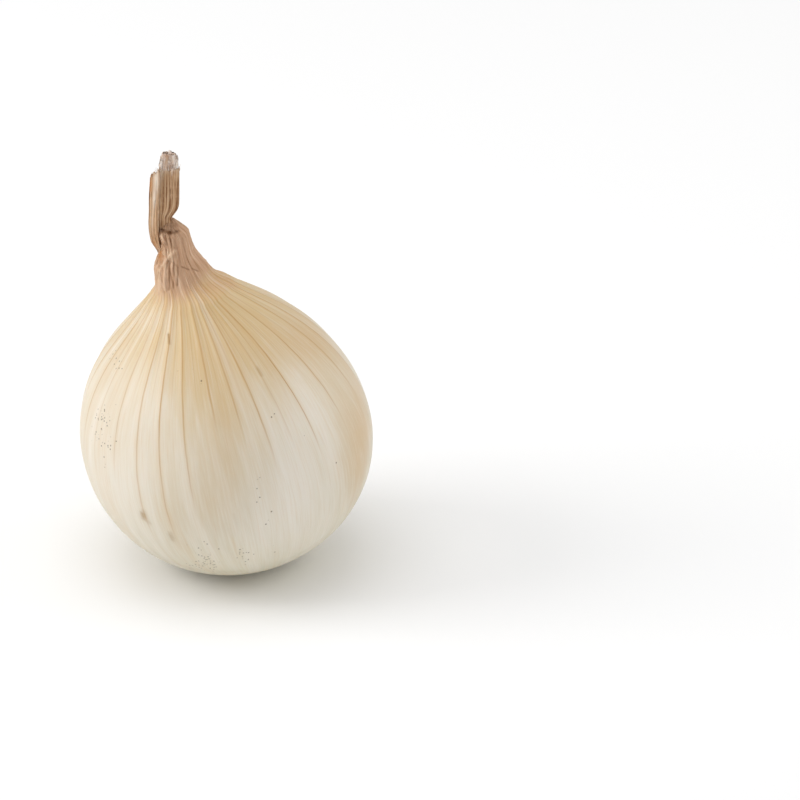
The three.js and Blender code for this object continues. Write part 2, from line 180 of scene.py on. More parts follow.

# Creases of the neck as the viewer sees them, in millimetres from the bulb's middle across and up the view:
# points, depth (below 0 stands out), width and how dark its painted shade is (below 0 is paler: a painted
# highlight on a raised fold)
VIEW_ELEVATION = 28.8
CREASES = [
    ([(-19.6, 55.9), (-18, 54.6), (-16.3, 53.9), (-14.8, 53.5)], 0.55, 0.6, 1.0),
    ([(-14.8, 53.5), (-13.6, 53.6), (-12.4, 54.1)], 0.35, 0.5, 0.6),
    # This line is painted shade alone, on the shaded top of the neck, with no dent
    ([(-17.4, 55.6), (-15.6, 55.3), (-13.2, 55.6)], 0.0, 0.9, 0.5),
    ([(-18.6, 55.3), (-16.6, 56.1), (-15, 57.2), (-13.9, 57.6)], 0.2, 0.4, 0.5),
    ([(-18.6, 52.6), (-17.5, 51.5), (-16.4, 49.8)], 0.2, 0.24, 0.7),
    ([(-17.7, 53.4), (-16.9, 51.7), (-15.8, 50.1), (-15.6, 48.5)], 0.2, 0.24, 0.6),
    ([(-17.5, 50.4), (-17.7, 48.5), (-18.1, 46.8), (-18.6, 45.2)], 0.4, 0.4, 0.6),
    ([(-17.2, 52.9), (-16.2, 50.9), (-15.4, 48.9), (-15, 47.4)], -0.25, 0.26, -0.9),
    ([(-18.3, 51.6), (-17.1, 49.9), (-16.6, 47.8)], -0.25, 0.26, -0.8),
    ([(-13.4, 48.7), (-14.5, 47.4), (-15.8, 46), (-16.9, 44.6)], -0.45, 0.4, -0.8),
    ([(-11.6, 44.3), (-9.7, 43.5)], 0.12, 0.2, 0.8),
    ([(-8.8, 43.8), (-7.1, 43.1)], 0.1, 0.18, 0.7),
    ([(-15.6, 46), (-13.9, 45.3), (-12.8, 44.5)], 0.15, 0.35, 0.45),
    ([(-18.3, 44.1), (-18.4, 38.1)], 0.2, 0.22, 0.35),
    ([(-16.8, 45.7), (-17.1, 37.6)], 0.2, 0.22, 0.5),
    ([(-14.9, 45.2), (-15, 38.1)], 0.25, 0.24, 0.8),
    ([(-13.8, 44.6), (-13.9, 38.6)], 0.15, 0.2, 0.5),
    ([(-12.6, 44.1), (-12.8, 39.2)], 0.25, 0.22, 0.8),
    ([(-16.1, 52.6), (-15.3, 49)], 0.3, 0.3, 0.6),
    ([(-14.7, 52.8), (-14.5, 48.5)], 0.25, 0.3, 0.5),
    ([(-13.4, 53.4), (-13.4, 45.7)], 0.1, 0.3, 0.3),
    ([(-17.7, 43.5), (-17.7, 37.5)], -0.3, 0.35, -0.7),
    ([(-16, 44.6), (-16.1, 38.1)], -0.35, 0.4, -0.8),
]
# The right half of the neck, from this far across in the view, is smooth, and how smooth
SMOOTH_FROM = (-14.5, -11.5)
SMOOTHNESS = 0.75

# Marks on the bulb as the viewer sees them: across, up, radius, strength
SPECK_CLUSTERS = [
    (-29.7, 18.7, 1.8, 0.9), (-33.4, 3.2, 2.2, 0.7), (-34.4, -1.2, 1.5, 0.7), (-31.7, -4.2, 2, 0.6),
    (-32.2, -9.4, 0.8, 0.5), (-5.7, -35.6, 3, 1.0), (-3.3, -36.4, 1.8, 0.7), (4.9, -33.7, 1.6, 0.9),
    (13.4, -32, 0.9, 0.7), (6, -36.8, 1, 0.6), (8.5, -12.9, 1, 0.5), (10, -16.5, 1.4, 0.5),
    (10.1, -21.4, 1.3, 0.6), (10.9, -25.8, 1, 0.5), (-6.5, 13, 1, 0.5), (-8.2, 16, 0.8, 0.4),
    (-12, 14.9, 1, 0.4), (13.1, 5.6, 1, 0.5), (29.2, -9.4, 1, 0.4), (23.2, -3.7, 1.2, 0.4),
]
# The share of the places for a speck that has one, where a cluster is strongest
SPECK_SHARE = 0.75
# Brown marks: points, width and strength
STAINS = [
    ([(-22.2, -22.8), (-21.9, -23.9)], 0.7, 0.7), ([(-21.9, -23.6), (-20.4, -25.6)], 0.4, 0.3),
    ([(-14.8, -28.4), (-14.1, -29.8)], 0.6, 0.4), ([(-15.2, 25.9), (-15, 23.5)], 0.3, 0.9),
    ([(2.3, -22.8), (3.5, -28.2)], 0.28, 0.5), ([(9, 16.8), (10.1, 14.9)], 0.35, 0.4),
    ([(-15.5, -35.9), (-11, -37.4), (-7, -38.5)], 0.3, 0.3), ([(19.4, 34.5), (23.2, 30.4)], 0.35, 0.6),
]
# Soft patches of the skin as the viewer sees them: across, up, half width, half height, strength. The warm
# and white ones are partly the skin's own tints and partly painted light: warm ones lay painted shade on the
# middle front, the right shoulder and the right edge, and white ones lay painted light on the left side and
# the middle right
SKIN_PATCHES = {
    "warm": [
        (-4, 20, 13, 10, 0.4), (0, 2, 8, 20, 0.3), (38.5, 0, 6, 27, 0.85), (24, 25, 12, 9, 0.8),
        (-3, -20, 8, 9, 0.2),
    ],
    "white": [
        (-31, 10, 9, 20, 0.5), (-28, -16, 10, 12, 0.5), (20, -3, 8, 18, 0.75), (-18, 2, 6, 12, 0.55),
        (18, -17, 9, 9, 0.35), (14, -26, 10, 9, 0.4), (-20, 30, 7, 4, 0.4),
    ],
    # The amber patch is the hollow under the neck's outer flap: partly golden thin tissue, partly painted
    # shade
    "amber": [(-17.6, 47.8, 0.8, 2.2, 0.85)],
    "pale": [(-18.2, 40.5, 1.6, 3.6, 0.55), (-14.6, 46.4, 0.8, 1.6, 0.4)],
}

# Tints of the leaves as the viewer sees them: across, up, half width, half height, strength
BLADE_PALE = [
    (-18.1, 66.5, 0.5, 4.5, 0.7), (-18.2, 61.5, 0.35, 2.5, 0.4), (-17.6, 70.3, 0.8, 2, 0.8),
    (-15.4, 71.2, 3, 1, 0.6),
]
STRIP_GOLDEN = [(-20.1, 66.8, 0.7, 2.4, 0.95), (-18.9, 50, 0.8, 2.6, 0.5)]
STRIP_PALE = [(-18.3, 68, 0.7, 3.6, 0.95), (-18.9, 62.5, 0.4, 2.6, 0.8), (-19.4, 57, 0.25, 2.5, 0.4)]
TIP_GOLDEN = [(-15.4, 74.8, 0.9, 1, 0.5), (-15.2, 71.8, 0.8, 1, 0.4)]

# The camera, whose picture is this wide and has its middle this far right of and above the bulb's
SENSOR = 36
FRAME_WIDTH = 218.3
FRAME_RIGHT = 47.75
FRAME_UP = 8.08
# The floor and the light: name, power in watts, size and place in metres
FLOOR_HALF = 3000
WORLD_STRENGTH = 0.57
LIGHTS = [
    ("Key light", 4.5, 0.6, (-0.9, -0.05, 0.6)),
    ("Fill light", 1.8, 0.7, (0.85, 0.1, 0.45)),
    ("Top light", 3.4, 0.9, (-0.15, 0, 1.1)),
]


def smoothstep(value, low, high):
    """A soft step from 0 at low to 1 at high."""
    t = np.clip((value - low) / (high - low), 0, 1)
    return t * t * (3 - 2 * t)


def blend_to(start, end, share):
    """The value at a share of the way from start to end."""
    return start + (end - start) * share


def place(x, y, up):
    """Points given about the bulb's own axis, moved to their place in the leaning onion."""
    lean = math.radians(LEAN)
    across = x * math.cos(lean) - up * math.sin(lean)
    height = x * math.sin(lean) + up * math.cos(lean) + MIDDLE_HEIGHT
    return np.stack(np.broadcast_arrays(across, y, height), -1)


def plump_radius(from_neck, around):
    """The smooth bulb's radius, without ribs or dish. Angles are in radians."""
    sine, cosine = np.sin(from_neck), np.cos(from_neck)
    hollow = FLARE_HOLLOW * np.maximum(0, np.cos(around - math.radians(FLARE_HOLLOW_AT))) ** 2
    flare = (FLARE_HEIGHT - hollow) * np.exp(-from_neck / math.radians(FLARE_ANGLE))
    belly = -SWELL_PEAK * cosine * sine**2
    return BULB_RADIUS + flare + belly * (HIP_SWELL + SIDE_SWELL * np.cos(around))


def point_at(radius, from_neck, around):
    """A point of the bulb at a radius, moved sideways near the root end, where the bulb has grown askew."""
    from_root = np.degrees(math.pi - from_neck)
    shift = ROOT_SHIFT * (1 - smoothstep(from_root, *ROOT_SHIFT_SPAN))
    across = radius * np.sin(from_neck)
    return place(across * np.cos(around) + shift, across * np.sin(around), radius * np.cos(from_neck))


def angle_at_height(height):
    """The angle from the neck end at which the skin is this high along the axis, found by halving."""
    low, high = np.zeros_like(height), np.full_like(height, math.pi / 2)
    for _ in range(HALVINGS):
        middle = (low + high) / 2
        above = plump_radius(middle, math.pi / 2) * np.cos(middle) > height
        low, high = np.where(above, middle, low), np.where(above, high, middle)
    return low


def through(table, share):
    """Values on a smooth curve through the rows of a table, at shares from 0 to 1 along it."""
    place_in = np.clip(share, 0, 1) * (len(table) - 1)
    first = np.minimum(place_in.astype(int), len(table) - 2)
    t = (place_in - first)[:, None]
    a, b, c, d = (table[np.clip(first + k, 0, len(table) - 1)] for k in (-1, 0, 1, 2))
    return 0.5 * (2 * b + (c - a) * t + (2 * a - 5 * b + 4 * c - d) * t**2 + (3 * b - a - 3 * c + d) * t**3)


def seen(points):
    """Where the viewer sees points: across and up the view from the bulb's middle."""
    tilt = math.radians(VIEW_ELEVATION)
    height = points[..., 2] - MIDDLE_HEIGHT
    return points[..., 0], height * math.cos(tilt) + points[..., 1] * math.sin(tilt)


def distance_to_line(across, up, line):
    """The distance in the view from each point to a broken line."""
    nearest = np.full(across.shape, 1e3)
    for (x0, y0), (x1, y1) in zip(line[:-1], line[1:]):
        dx, dy = x1 - x0, y1 - y0
        t = np.clip(((across - x0) * dx + (up - y0) * dy) / (dx * dx + dy * dy), 0, 1)
        nearest = np.minimum(nearest, np.hypot(across - x0 - t * dx, up - y0 - t * dy))
    return nearest


def veins():
    """All veins in order round the bulb, from the middle of the back: angle, strength and fading angle."""
    last, first = FRONT_VEINS[-1][0], FRONT_VEINS[0][0] + 360
    step = (first - last) / (BACK_VEIN_COUNT + 1)
    random = np.random.default_rng(5)
    back = []
    for i in range(BACK_VEIN_COUNT):
        back.append((last + step * (i + 1), random.uniform(0.4, 1), random.uniform(62, 108)))
    half = BACK_VEIN_COUNT // 2
    before = [(angle - 360, strength, fades) for angle, strength, fades in back[half:]]
    return before + FRONT_VEINS + back[:half]


def skin_columns():
    """For each column of the skin: its angle, its phase counted in veins, and the vein that is nearest."""
    table = veins()
    angles = np.array([v[0] for v in table] + [table[0][0] + 360])
    phase = np.arange(len(table) * COLUMNS_PER_VEIN) / COLUMNS_PER_VEIN
    around = np.radians(np.interp(phase, np.arange(len(angles)), angles))
    nearest = np.round(phase).astype(int) % len(table)
    strength = np.array([table[i][1] for i in nearest])
    fades = np.array([table[i][2] for i in nearest])
    spacing = np.radians(np.diff(angles))[phase.astype(int)]
    return around, phase, strength, fades, spacing


def build_mesh(name, points, faces, corners=None, fields=None):
    """A smooth mesh object from millimetre points, with an own UV map and named fields on its points."""
    mesh = bpy.data.meshes.new(name)
    mesh.from_pydata((points * MM).tolist(), [], faces)
    mesh.polygons.foreach_set("use_smooth", [True] * len(mesh.polygons))
    if corners is not None:
        layer = mesh.uv_layers.new(name="weave")
        layer.data.foreach_set("uv", np.asarray(corners, dtype=np.float32).ravel())
    for field, values in (fields or {}).items():
        stored = mesh.attributes.new(field, "FLOAT", "POINT")
        stored.data.foreach_set("value", np.asarray(values, dtype=np.float32).ravel())
    mesh.update()
    made = bpy.data.objects.new(name, mesh)
    bpy.context.scene.collection.objects.link(made)
    return made


def facing_out(points, faces):
    """The faces, turned round where the closed shape's volume comes out negative."""
    corner = [points[[face[k] for face in faces]] for k in range(3)]
    volume = np.einsum("ij,ij->", corner[0], np.cross(corner[1], corner[2]))
    return faces if volume > 0 else [tuple(reversed(face)) for face in faces]


def dress(piece, slot, material, *nodes):
    """Gives a finished piece its material and its body, and hides the solids that it stands for. The slot is
    not used.
    """
    if material:
        piece.data.materials.clear()
        piece.data.materials.append(material)
    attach(piece, "root")
    if nodes:
        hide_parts(*nodes)


# Materials


def linear(colour):
    """A linear RGBA colour from an sRGB hex value such as "#e8dcc0"."""
    parts = [int(colour[i : i + 2], 16) / 255 for i in (1, 3, 5)]
    return tuple(p / 12.92 if p <= 0.04045 else ((p + 0.055) / 1.055) ** 2.4 for p in parts) + (1.0,)


def add(tree, kind, inputs=None, **settings):
    """Adds a node and sets its properties. Its inputs, by name or number, are set to values, or linked to
    sockets or to the first output in use of other nodes."""
    made = tree.nodes.new(kind)
    for name, value in settings.items():
        setattr(made, name, value)
    for name, value in (inputs or {}).items():
        if isinstance(value, bpy.types.Node):
            value = next(output for output in value.outputs if output.enabled)
        if isinstance(value, bpy.types.NodeSocket):
            tree.links.new(value, made.inputs[name])
        else:
            made.inputs[name].default_value = value
    return made


def new_material(name):
    """An empty material; returns it and its tree."""
    material = bpy.data.materials.new(name)
    material.use_nodes = True
    material.node_tree.nodes.clear()
    return material, material.node_tree


def shade(tree, inputs):
    """Ends a material's tree with a shader that has these inputs."""
    shader = add(tree, "ShaderNodeBsdfPrincipled", inputs)
    add(tree, "ShaderNodeOutputMaterial", {"Surface": shader})


def set_ramp(ramp, stops):
    """Fills a colour ramp from pairs of a position and a linear colour."""
    elements = ramp.color_ramp.elements
    while len(elements) > 1:
        elements.remove(elements[-1])
    elements[0].position, elements[0].color = stops[0]
    for position, colour in stops[1:]:
        elements.new(position).color = colour
    return ramp


def layered(tree, colour, layers):
    """The colour with layers over it, each one an amount and a tone."""
    for amount, tone in layers:
        colour = add(tree, "ShaderNodeMix", {0: amount, 6: colour, 7: tone}, data_type="RGBA")
    return colour


def skin_grain(tree, phase, polar):
    """The grains that run along the skin, each on a way round the bulb that closes on itself."""
    turn = add(tree, "ShaderNodeMath", {0: phase, 1: TURN}, operation="MULTIPLY")
    cosine = add(tree, "ShaderNodeMath", {0: turn}, operation="COSINE")
    sine = add(tree, "ShaderNodeMath", {0: turn}, operation="SINE")
    ring = add(tree, "ShaderNodeCombineXYZ", {0: cosine, 1: sine, 2: polar})
    grain = {}
    for name, (across, along, detail) in SKIN_GRAIN.items():
        way = add(tree, "ShaderNodeVectorMath", {0: ring, 1: (across, across, along)}, operation="MULTIPLY")
        grain[name] = add(tree, "ShaderNodeTexNoise", {
            "Vector": way, "Scale": 1.0, "Detail": detail, "Roughness": 0.65,
        })
    return grain


def skin_ground(tree, look, field, grain, polar, place_on, near_neck):
    """The skin's colour by the angle from the neck end, with soft tints between the veins."""
    # Patches about 12 mm across move the ground colour up and down
    patches = add(tree, "ShaderNodeTexNoise", {
        "Vector": place_on, "Scale": 85.0, "Detail": 3.0, "Roughness": 0.6,
    })
    shift = add(tree, "ShaderNodeMapRange", {"Value": patches, 1: 0.3, 2: 0.7, 3: -0.03, 4: 0.03})
    where = add(tree, "ShaderNodeMath", {0: polar, 1: shift}, operation="ADD")
    colour = set_ramp(add(tree, "ShaderNodeValToRGB", {0: where}), [
        (0.0, look.neck_foot), (0.04, look.neck_foot), (0.088, look.shoulder), (0.22, look.upper),
        (0.4, look.middle), (0.6, look.lower), (0.82, look.under), (1.0, look.root_end),
    ])
    # What gives a tint, where it starts and where it is full, how much it covers then, and its tone
    for source, start, full, share, tone in (
        (grain["bands"], 0.5, 0.75, 0.6, look.white), (grain["bands"], 0.5, 0.28, 0.35, look.warm),
        # The warm and white patches are partly the skin's own tint, partly painted shade and painted light
        (field["warm"], 0.0, 1.0, 0.8, look.warm), (field["white"], 0.0, 1.0, 0.8, look.white),
        (grain["fibres"], 0.5, 0.75, 0.35, look.white), (grain["fibres"], 0.5, 0.25, 0.25, look.warm),
    ):
        amount = add(tree, "ShaderNodeMapRange", {"Value": source, 1: start, 2: full, 3: 0.0, 4: share})
        colour = layered(tree, colour, [(amount, tone)])
    fan = add(tree, "ShaderNodeMapRange", {"Value": grain["fan"], 1: 0.46, 2: 0.66, 3: 0.0, 4: 0.5})
    fan = add(tree, "ShaderNodeMath", {0: fan, 1: near_neck}, operation="MULTIPLY")
    return layered(tree, colour, [(fan, look.vein_halo)])


def veined(tree, look, colour, field, grain, phase, place_on, near_neck):
    """The colour with thin veins at whole phases, at an even width thanks to the spacing of the veins."""
    waver = add(tree, "ShaderNodeTexNoise", {"Vector": place_on, "Scale": 120.0, "Detail": 2.0})
    waver = add(tree, "ShaderNodeMath", {0: waver, 1: 0.5}, operation="SUBTRACT")
    waver = add(tree, "ShaderNodeMath", {0: waver, 1: 0.07, 2: phase}, operation="MULTIPLY_ADD")
    broken = add(tree, "ShaderNodeMapRange", {"Value": grain["fibres"], 1: 0.3, 2: 0.6, 3: 0.4, 4: 1.0})
    thin = look.vein_width / MM
    # The veins' soft edges, the veins, and near the neck a finer line between them
    for offset, width, where, share, tone in (
        (0.0, thin * 3.5, field["vein"], 0.22, look.vein_halo),
        (0.0, thin, field["vein"], 0.85, look.vein),
        (0.5, thin * 0.8, near_neck, 0.5, look.vein),
    ):
        moved = add(tree, "ShaderNodeMath", {0: waver, 1: offset}, operation="ADD")
        away = add(tree, "ShaderNodeMath", {0: moved, 1: 0.5}, operation="PINGPONG")
        distance = add(tree, "ShaderNodeMath", {0: away, 1: field["gap"]}, operation="MULTIPLY")
        line = add(tree, "ShaderNodeMapRange", {
            "Value": distance, 1: width * 0.35, 2: width * 1.5, 3: share, 4: 0.0,
        }, interpolation_type="SMOOTHSTEP")
        amount = add(tree, "ShaderNodeMath", {0: line, 1: where}, operation="MULTIPLY")
        amount = add(tree, "ShaderNodeMath", {0: amount, 1: broken}, operation="MULTIPLY")
        colour = layered(tree, colour, [(amount, tone)])
    return colour


def specks_where(tree, place_on, share):
    """Specks 0.3 mm wide, in this share of the places that could hold one."""
    dots = add(tree, "ShaderNodeTexVoronoi", {"Vector": place_on, "Scale": 1250.0, "Randomness": 1.0})
    dot = add(tree, "ShaderNodeMapRange", {"Value": dots, 1: 0.18, 2: 0.38, 3: 0.8, 4: 0.0})
    lot = add(tree, "ShaderNodeSeparateColor", {0: dots.outputs["Color"]})
    chosen = add(tree, "ShaderNodeMath", {0: lot, 1: share}, operation="LESS_THAN")
    return add(tree, "ShaderNodeMath", {0: dot, 1: chosen}, operation="MULTIPLY")


def skin_material(look):
    """Onion skin: a thin, dried, waxy leaf. It is satin and cream, ochre near the neck, with brown veins
    under the surface, and turns to matt, tan, folded tissue on the neck."""
    material, tree = new_material("Dried onion skin")
    weave = add(tree, "ShaderNodeSeparateXYZ", {0: add(tree, "ShaderNodeUVMap", uv_map="weave")})
    phase, polar = weave.outputs[0], weave.outputs[1]
    names = ("vein", "gap", "dry", "painted_fold_shading", "specks", "stain", "amber", "pale", "warm", "white")
    field = {name: add(tree, "ShaderNodeAttribute", attribute_name=name).outputs["Fac"] for name in names}
    place_on = add(tree, "ShaderNodeTexCoord").outputs["Object"]
    grain = skin_grain(tree, phase, polar)
    near_neck = add(tree, "ShaderNodeMapRange", {"Value": polar, 1: 0.08, 2: 0.3, 3: 1.0, 4: 0.0})
    colour = skin_ground(tree, look, field, grain, polar, place_on, near_neck)
    colour = veined(tree, look, colour, field, grain, phase, place_on, near_neck)

    # The dry neck: tan streaks along its folds, with painted shade in the creases and a painted highlight on
    # raised folds
    tan = set_ramp(add(tree, "ShaderNodeValToRGB", {0: grain["streaks"]}), [
        (0.3, look.neck_dark), (0.44, look.neck), (0.56, look.neck), (0.7, look.neck_pale),
    ])
    fray = add(tree, "ShaderNodeMath", {0: grain["streaks"], 1: 0.5}, operation="SUBTRACT")
    fray = add(tree, "ShaderNodeMath", {0: fray, 1: 0.9, 2: field["dry"]}, operation="MULTIPLY_ADD")
    dry = add(tree, "ShaderNodeMapRange", {
        "Value": fray, 1: 0.12, 2: 0.88, 3: 0.0, 4: 1.0,
    }, interpolation_type="SMOOTHSTEP")
    # Painted shade darkens the creases, and a painted highlight makes the raised folds pale
    dark = add(tree, "ShaderNodeMapRange", {"Value": field["painted_fold_shading"], 1: 0.0, 2: 1.0, 3: 0.0, 4: 0.85})
    raised = add(tree, "ShaderNodeMapRange", {"Value": field["painted_fold_shading"], 1: 0.0, 2: -1.0, 3: 0.0, 4: 0.7})
    colour = layered(tree, colour, [
        (specks_where(tree, place_on, field["specks"]), look.speck), (field["stain"], look.stain), (dry, tan),
        (dark, look.painted_fold_shading), (raised, look.neck_pale), (field["amber"], look.amber),
        (field["pale"], look.neck_pale),
    ])

    # Relief: fibres everywhere, coarser on the neck
    relief = add(tree, "ShaderNodeMath", {0: grain["streaks"], 1: dry}, operation="MULTIPLY")
    relief = add(tree, "ShaderNodeMath", {0: relief, 1: 5.0, 2: grain["fibres"]}, operation="MULTIPLY_ADD")
    bump = add(tree, "ShaderNodeBump", {"Strength": 0.35, "Distance": 0.00012, "Height": relief})
    rough = add(tree, "ShaderNodeMapRange", {"Value": dry, 1: 0.0, 2: 1.0, 3: look.skin_roughness, 4: 0.8})
    shade(tree, {
        "Base Color": colour, "Normal": bump, "Roughness": rough, "IOR": 1.45, "Subsurface Weight": 0.12,
        "Subsurface Radius": (1.0, 0.6, 0.35), "Subsurface Scale": 0.002,
    })
    return material


def withered_material(name, dark, middle, pale, golden, torn, fine=1.0):
    """Withered onion leaf: papery, matt, with fibres along it, golden where it is thin, pale where torn."""
    material, tree = new_material(name)
    weave = add(tree, "ShaderNodeUVMap", uv_map="weave")
    # The map is in millimetres: fibres are about 0.4 mm apart and 16 mm long
    fineness = (2.5 * fine, 0.06 * fine, 1.0)
    along = add(tree, "ShaderNodeVectorMath", {0: weave, 1: fineness}, operation="MULTIPLY")
    fibres = add(tree, "ShaderNodeTexNoise", {"Vector": along, "Scale": 1.0, "Detail": 4.0, "Roughness": 0.6})
    tone = set_ramp(add(tree, "ShaderNodeValToRGB", {0: fibres}), [
        (0.43, dark), (0.47, middle), (0.52, middle), (0.57, pale),
    ])
    blotch = add(tree, "ShaderNodeTexNoise", {"Vector": weave, "Scale": 0.35, "Detail": 3.0})
    blotch = add(tree, "ShaderNodeMapRange", {"Value": blotch, 1: 0.52, 2: 0.72, 3: 0.0, 4: 0.45})
    layers = [(blotch, pale)]
    for field, colour in (("golden", golden), ("pale", torn)):
        layers.append((add(tree, "ShaderNodeAttribute", attribute_name=field).outputs["Fac"], colour))
    shade(tree, {
        "Base Color": layered(tree, tone, layers),
        "Normal": add(tree, "ShaderNodeBump", {"Strength": 0.5, "Distance": 0.0002, "Height": fibres}),
        "Roughness": 0.78, "Subsurface Weight": 0.1, "Subsurface Radius": (1.0, 0.5, 0.25),
        "Subsurface Scale": 0.001,
    })
    return material


def root_material(look):
    """Dried roots: brittle, corky tubes, cut short, pale on their rims, with painted shade inside them and
    between them.
    """
    material, tree = new_material("Dried root")
    tip = add(tree, "ShaderNodeAttribute", attribute_name="tip").outputs["Fac"]
    place_on = add(tree, "ShaderNodeTexCoord").outputs["Object"]
    # Mottles about 1.5 mm wide
    grain = add(tree, "ShaderNodeTexNoise", {
        "Vector": place_on, "Scale": 650.0, "Detail": 4.0, "Roughness": 0.7,
    })
    mixed = add(tree, "ShaderNodeMath", {0: grain, 1: 0.9, 2: tip}, operation="MULTIPLY_ADD")
    # The darkest stop is painted shade, inside the hollows and on the disc between the roots
    tone = set_ramp(add(tree, "ShaderNodeValToRGB", {0: mixed}), [
        (0.12, look.gap), (0.35, look.root), (0.65, look.root_pale), (0.95, look.root_tip),
    ])
    bump = add(tree, "ShaderNodeBump", {"Strength": 0.6, "Distance": 0.0002, "Height": grain})
    shade(tree, {"Base Color": tone, "Normal": bump, "Roughness": 0.9})
    return material


def floor_material(look):
    """White studio paper."""
    material, tree = new_material("Studio paper")
    shade(tree, {"Base Color": look.floor, "Roughness": 0.9, "Specular IOR Level": 0.1})
    return material


# The skin of the bulb and the neck


def unit(vectors):
    """The vectors, each one unit long."""
    return vectors / np.linalg.norm(vectors, axis=-1, keepdims=True)


def noise_at(points, size, octaves=3):
    """Smooth noise, about -1 to 1, whose largest lumps are this many millimetres wide."""
    flat = (points / size).reshape(-1, 3)
    values = [noise.fractal(Vector(point), 0.9, 2.1, octaves) for point in flat.tolist()]
    return np.array(values).reshape(points.shape[:-1])


def rib_shape(phase):
    """The height of a rib from 0 to 1: a narrow bell over each vein."""
    away = np.abs(phase - np.round(phase))
    return 0.5 + 0.5 * np.cos(np.pi * np.minimum(1, away * 3))


def twisted(from_neck, around):
    """The angle round the bulb that a column has come to at this angle from the neck end."""
    side = TWIST["side"] * np.maximum(0, np.cos(around - math.radians(TWIST["side_at"])))
    near = np.exp((math.radians(NECK_STARTS_AT) - from_neck) / math.radians(TWIST["fade"]))
    return around - np.radians((TWIST["all"] + side) * np.minimum(1, near))


def skin_point(from_neck, column, rib):
    """A point of the skin, with its rib and the dish at the root end."""
    around = twisted(from_neck, column)
    from_root = np.degrees(math.pi - from_neck)
    dish = DISH_DEPTH * (1 - smoothstep(from_root, *DISH_SPAN))
    raised = RIB_HEIGHT * rib * np.exp(-from_neck / math.radians(RIB_FADE_ANGLE))
    return point_at(plump_radius(from_neck, around) + raised - dish, from_neck, around)


def neck_fold(around, share):
    """How far a fold of the neck stands out or in, as a share of the radius."""
    facing = 0.5 - 0.5 * np.cos(around - math.radians(FOLD["faintest_at"]))
    wave = np.sin(FOLD["count"] * around + FOLD["turn"] * share)
    second = 0.5 * np.sin(FOLD["second_count"] * around - FOLD["second_turn"] * share)
    return FOLD["depth"] * smoothstep(share, 0.05, 0.5) * (0.35 + facing) * (wave + second)


def neck_rows(around, rib):
    """The neck as rows of points, from its foot on the bulb to the edge of its crown."""
    first = math.radians(NECK_STARTS_AT)
    foot_height = plump_radius(first, math.pi / 2) * math.cos(first)
    share = np.linspace(0, 1, NECK_ROWS)
    rise = NECK_FOOT_RISE * np.minimum(1, share / NECK_BLEND)
    foot = skin_point(angle_at_height(foot_height + rise)[:, None], around[None], rib[None])
    x, up, wide, deep, tilt = through(NECK_STATIONS, share).T[:, :, None]
    swell = 1 + neck_fold(around[None], share[:, None]) + RIB_SWELL * rib[None]
    turned = twisted(first, around)
    across = wide * swell * np.cos(turned)
    tilt = np.radians(tilt)
    high = np.stack([
        x + across * np.cos(tilt), deep * swell * np.sin(turned), MIDDLE_HEIGHT + up + across * np.sin(tilt),
    ], -1)
    return blend_to(foot, high, smoothstep(share, 0, NECK_BLEND)[:, None, None])


def crown_rows(edge, top):
    """The rounded end of the neck, from its edge to near its middle."""
    share = np.linspace(0, 1, CROWN_ROWS + 2)[1:-1, None, None]
    rows = blend_to(edge, top, share)
    rows[..., 2] += CROWN_ROUND * np.sin(np.pi * share[..., 0])
    return rows


def relieved(points, phase, neckness, sizes):
    """The skin with its folds: ridges along the neck, a crumpled front and the creases in view. Returns the
    points, how much painted shade darkens each one's crease (below 0, a painted highlight), and how much each
    one faces the viewer."""
    down = np.gradient(points, axis=0)
    across = np.roll(points, -1, 1) - np.roll(points, 1, 1)
    normal = unit(np.cross(down, across))
    side, up = seen(points)
    tilt = math.radians(VIEW_ELEVATION)
    facing = smoothstep(normal @ np.array([0, -math.cos(tilt), math.sin(tilt)]), 0, 0.4)
    rows = np.flatnonzero(neckness > 0)
    region = slice(rows[0], rows[-1] + 1)
    turn = phase * TURN
    ridges = []
    for wave, tall in RIDGES:
        way = np.broadcast_arrays(np.cos(turn) * wave, np.sin(turn) * wave, points[region, :, 2] / tall)
        ridges.append(1 - 2 * np.abs(noise_at(np.stack(way, -1), 1)))
    messy = patches_in_view(points[region], facing[region], [CRUMPLED])
    smooth = smoothstep(side[region], *SMOOTH_FROM) * facing[region]
    strength = neckness[region, None] * (1 - SMOOTHNESS * smooth)
    crumple = CRUMPLE_EVERYWHERE * strength + sizes.crumple_depth / MM * messy
    lift = np.zeros(points.shape[:2])
    lift[region] = strength * sizes.fold_depth / MM * (sum(ridges) - 1)
    lift[region] += crumple * noise_at(points[region], CRUMPLE_SIZE)
    painted_fold_shading = np.zeros_like(lift)
    for line, depth, width, tone in CREASES:
        # Each crease is dented and darkened with painted shade; one below 0 stands out with a painted
        # highlight
        notch = np.exp(-((distance_to_line(side, up, line) / width) ** 2)) * facing
        lift -= depth * notch
        painted_fold_shading += tone * notch
    # Painted shade in the furrows between the finest ridges, painted highlight on their tops
    painted_fold_shading[region] += np.clip(-RIDGE_SHADING * strength * (ridges[0] - 0.2), *RIDGE_SHADING_SPAN)
    return points + normal * lift[..., None], np.clip(painted_fold_shading, -1, 1), facing


def patches_in_view(points, facing, patches):
    """A field that is high in the given round patches of the view."""
    side, up = seen(points)
    total = np.zeros(side.shape)
    for x, y, wide, high, strength in patches:
        total += strength * np.exp(-(((side - x) / wide) ** 2) - ((up - y) / high) ** 2)
    return np.clip(total * facing, 0, 1)


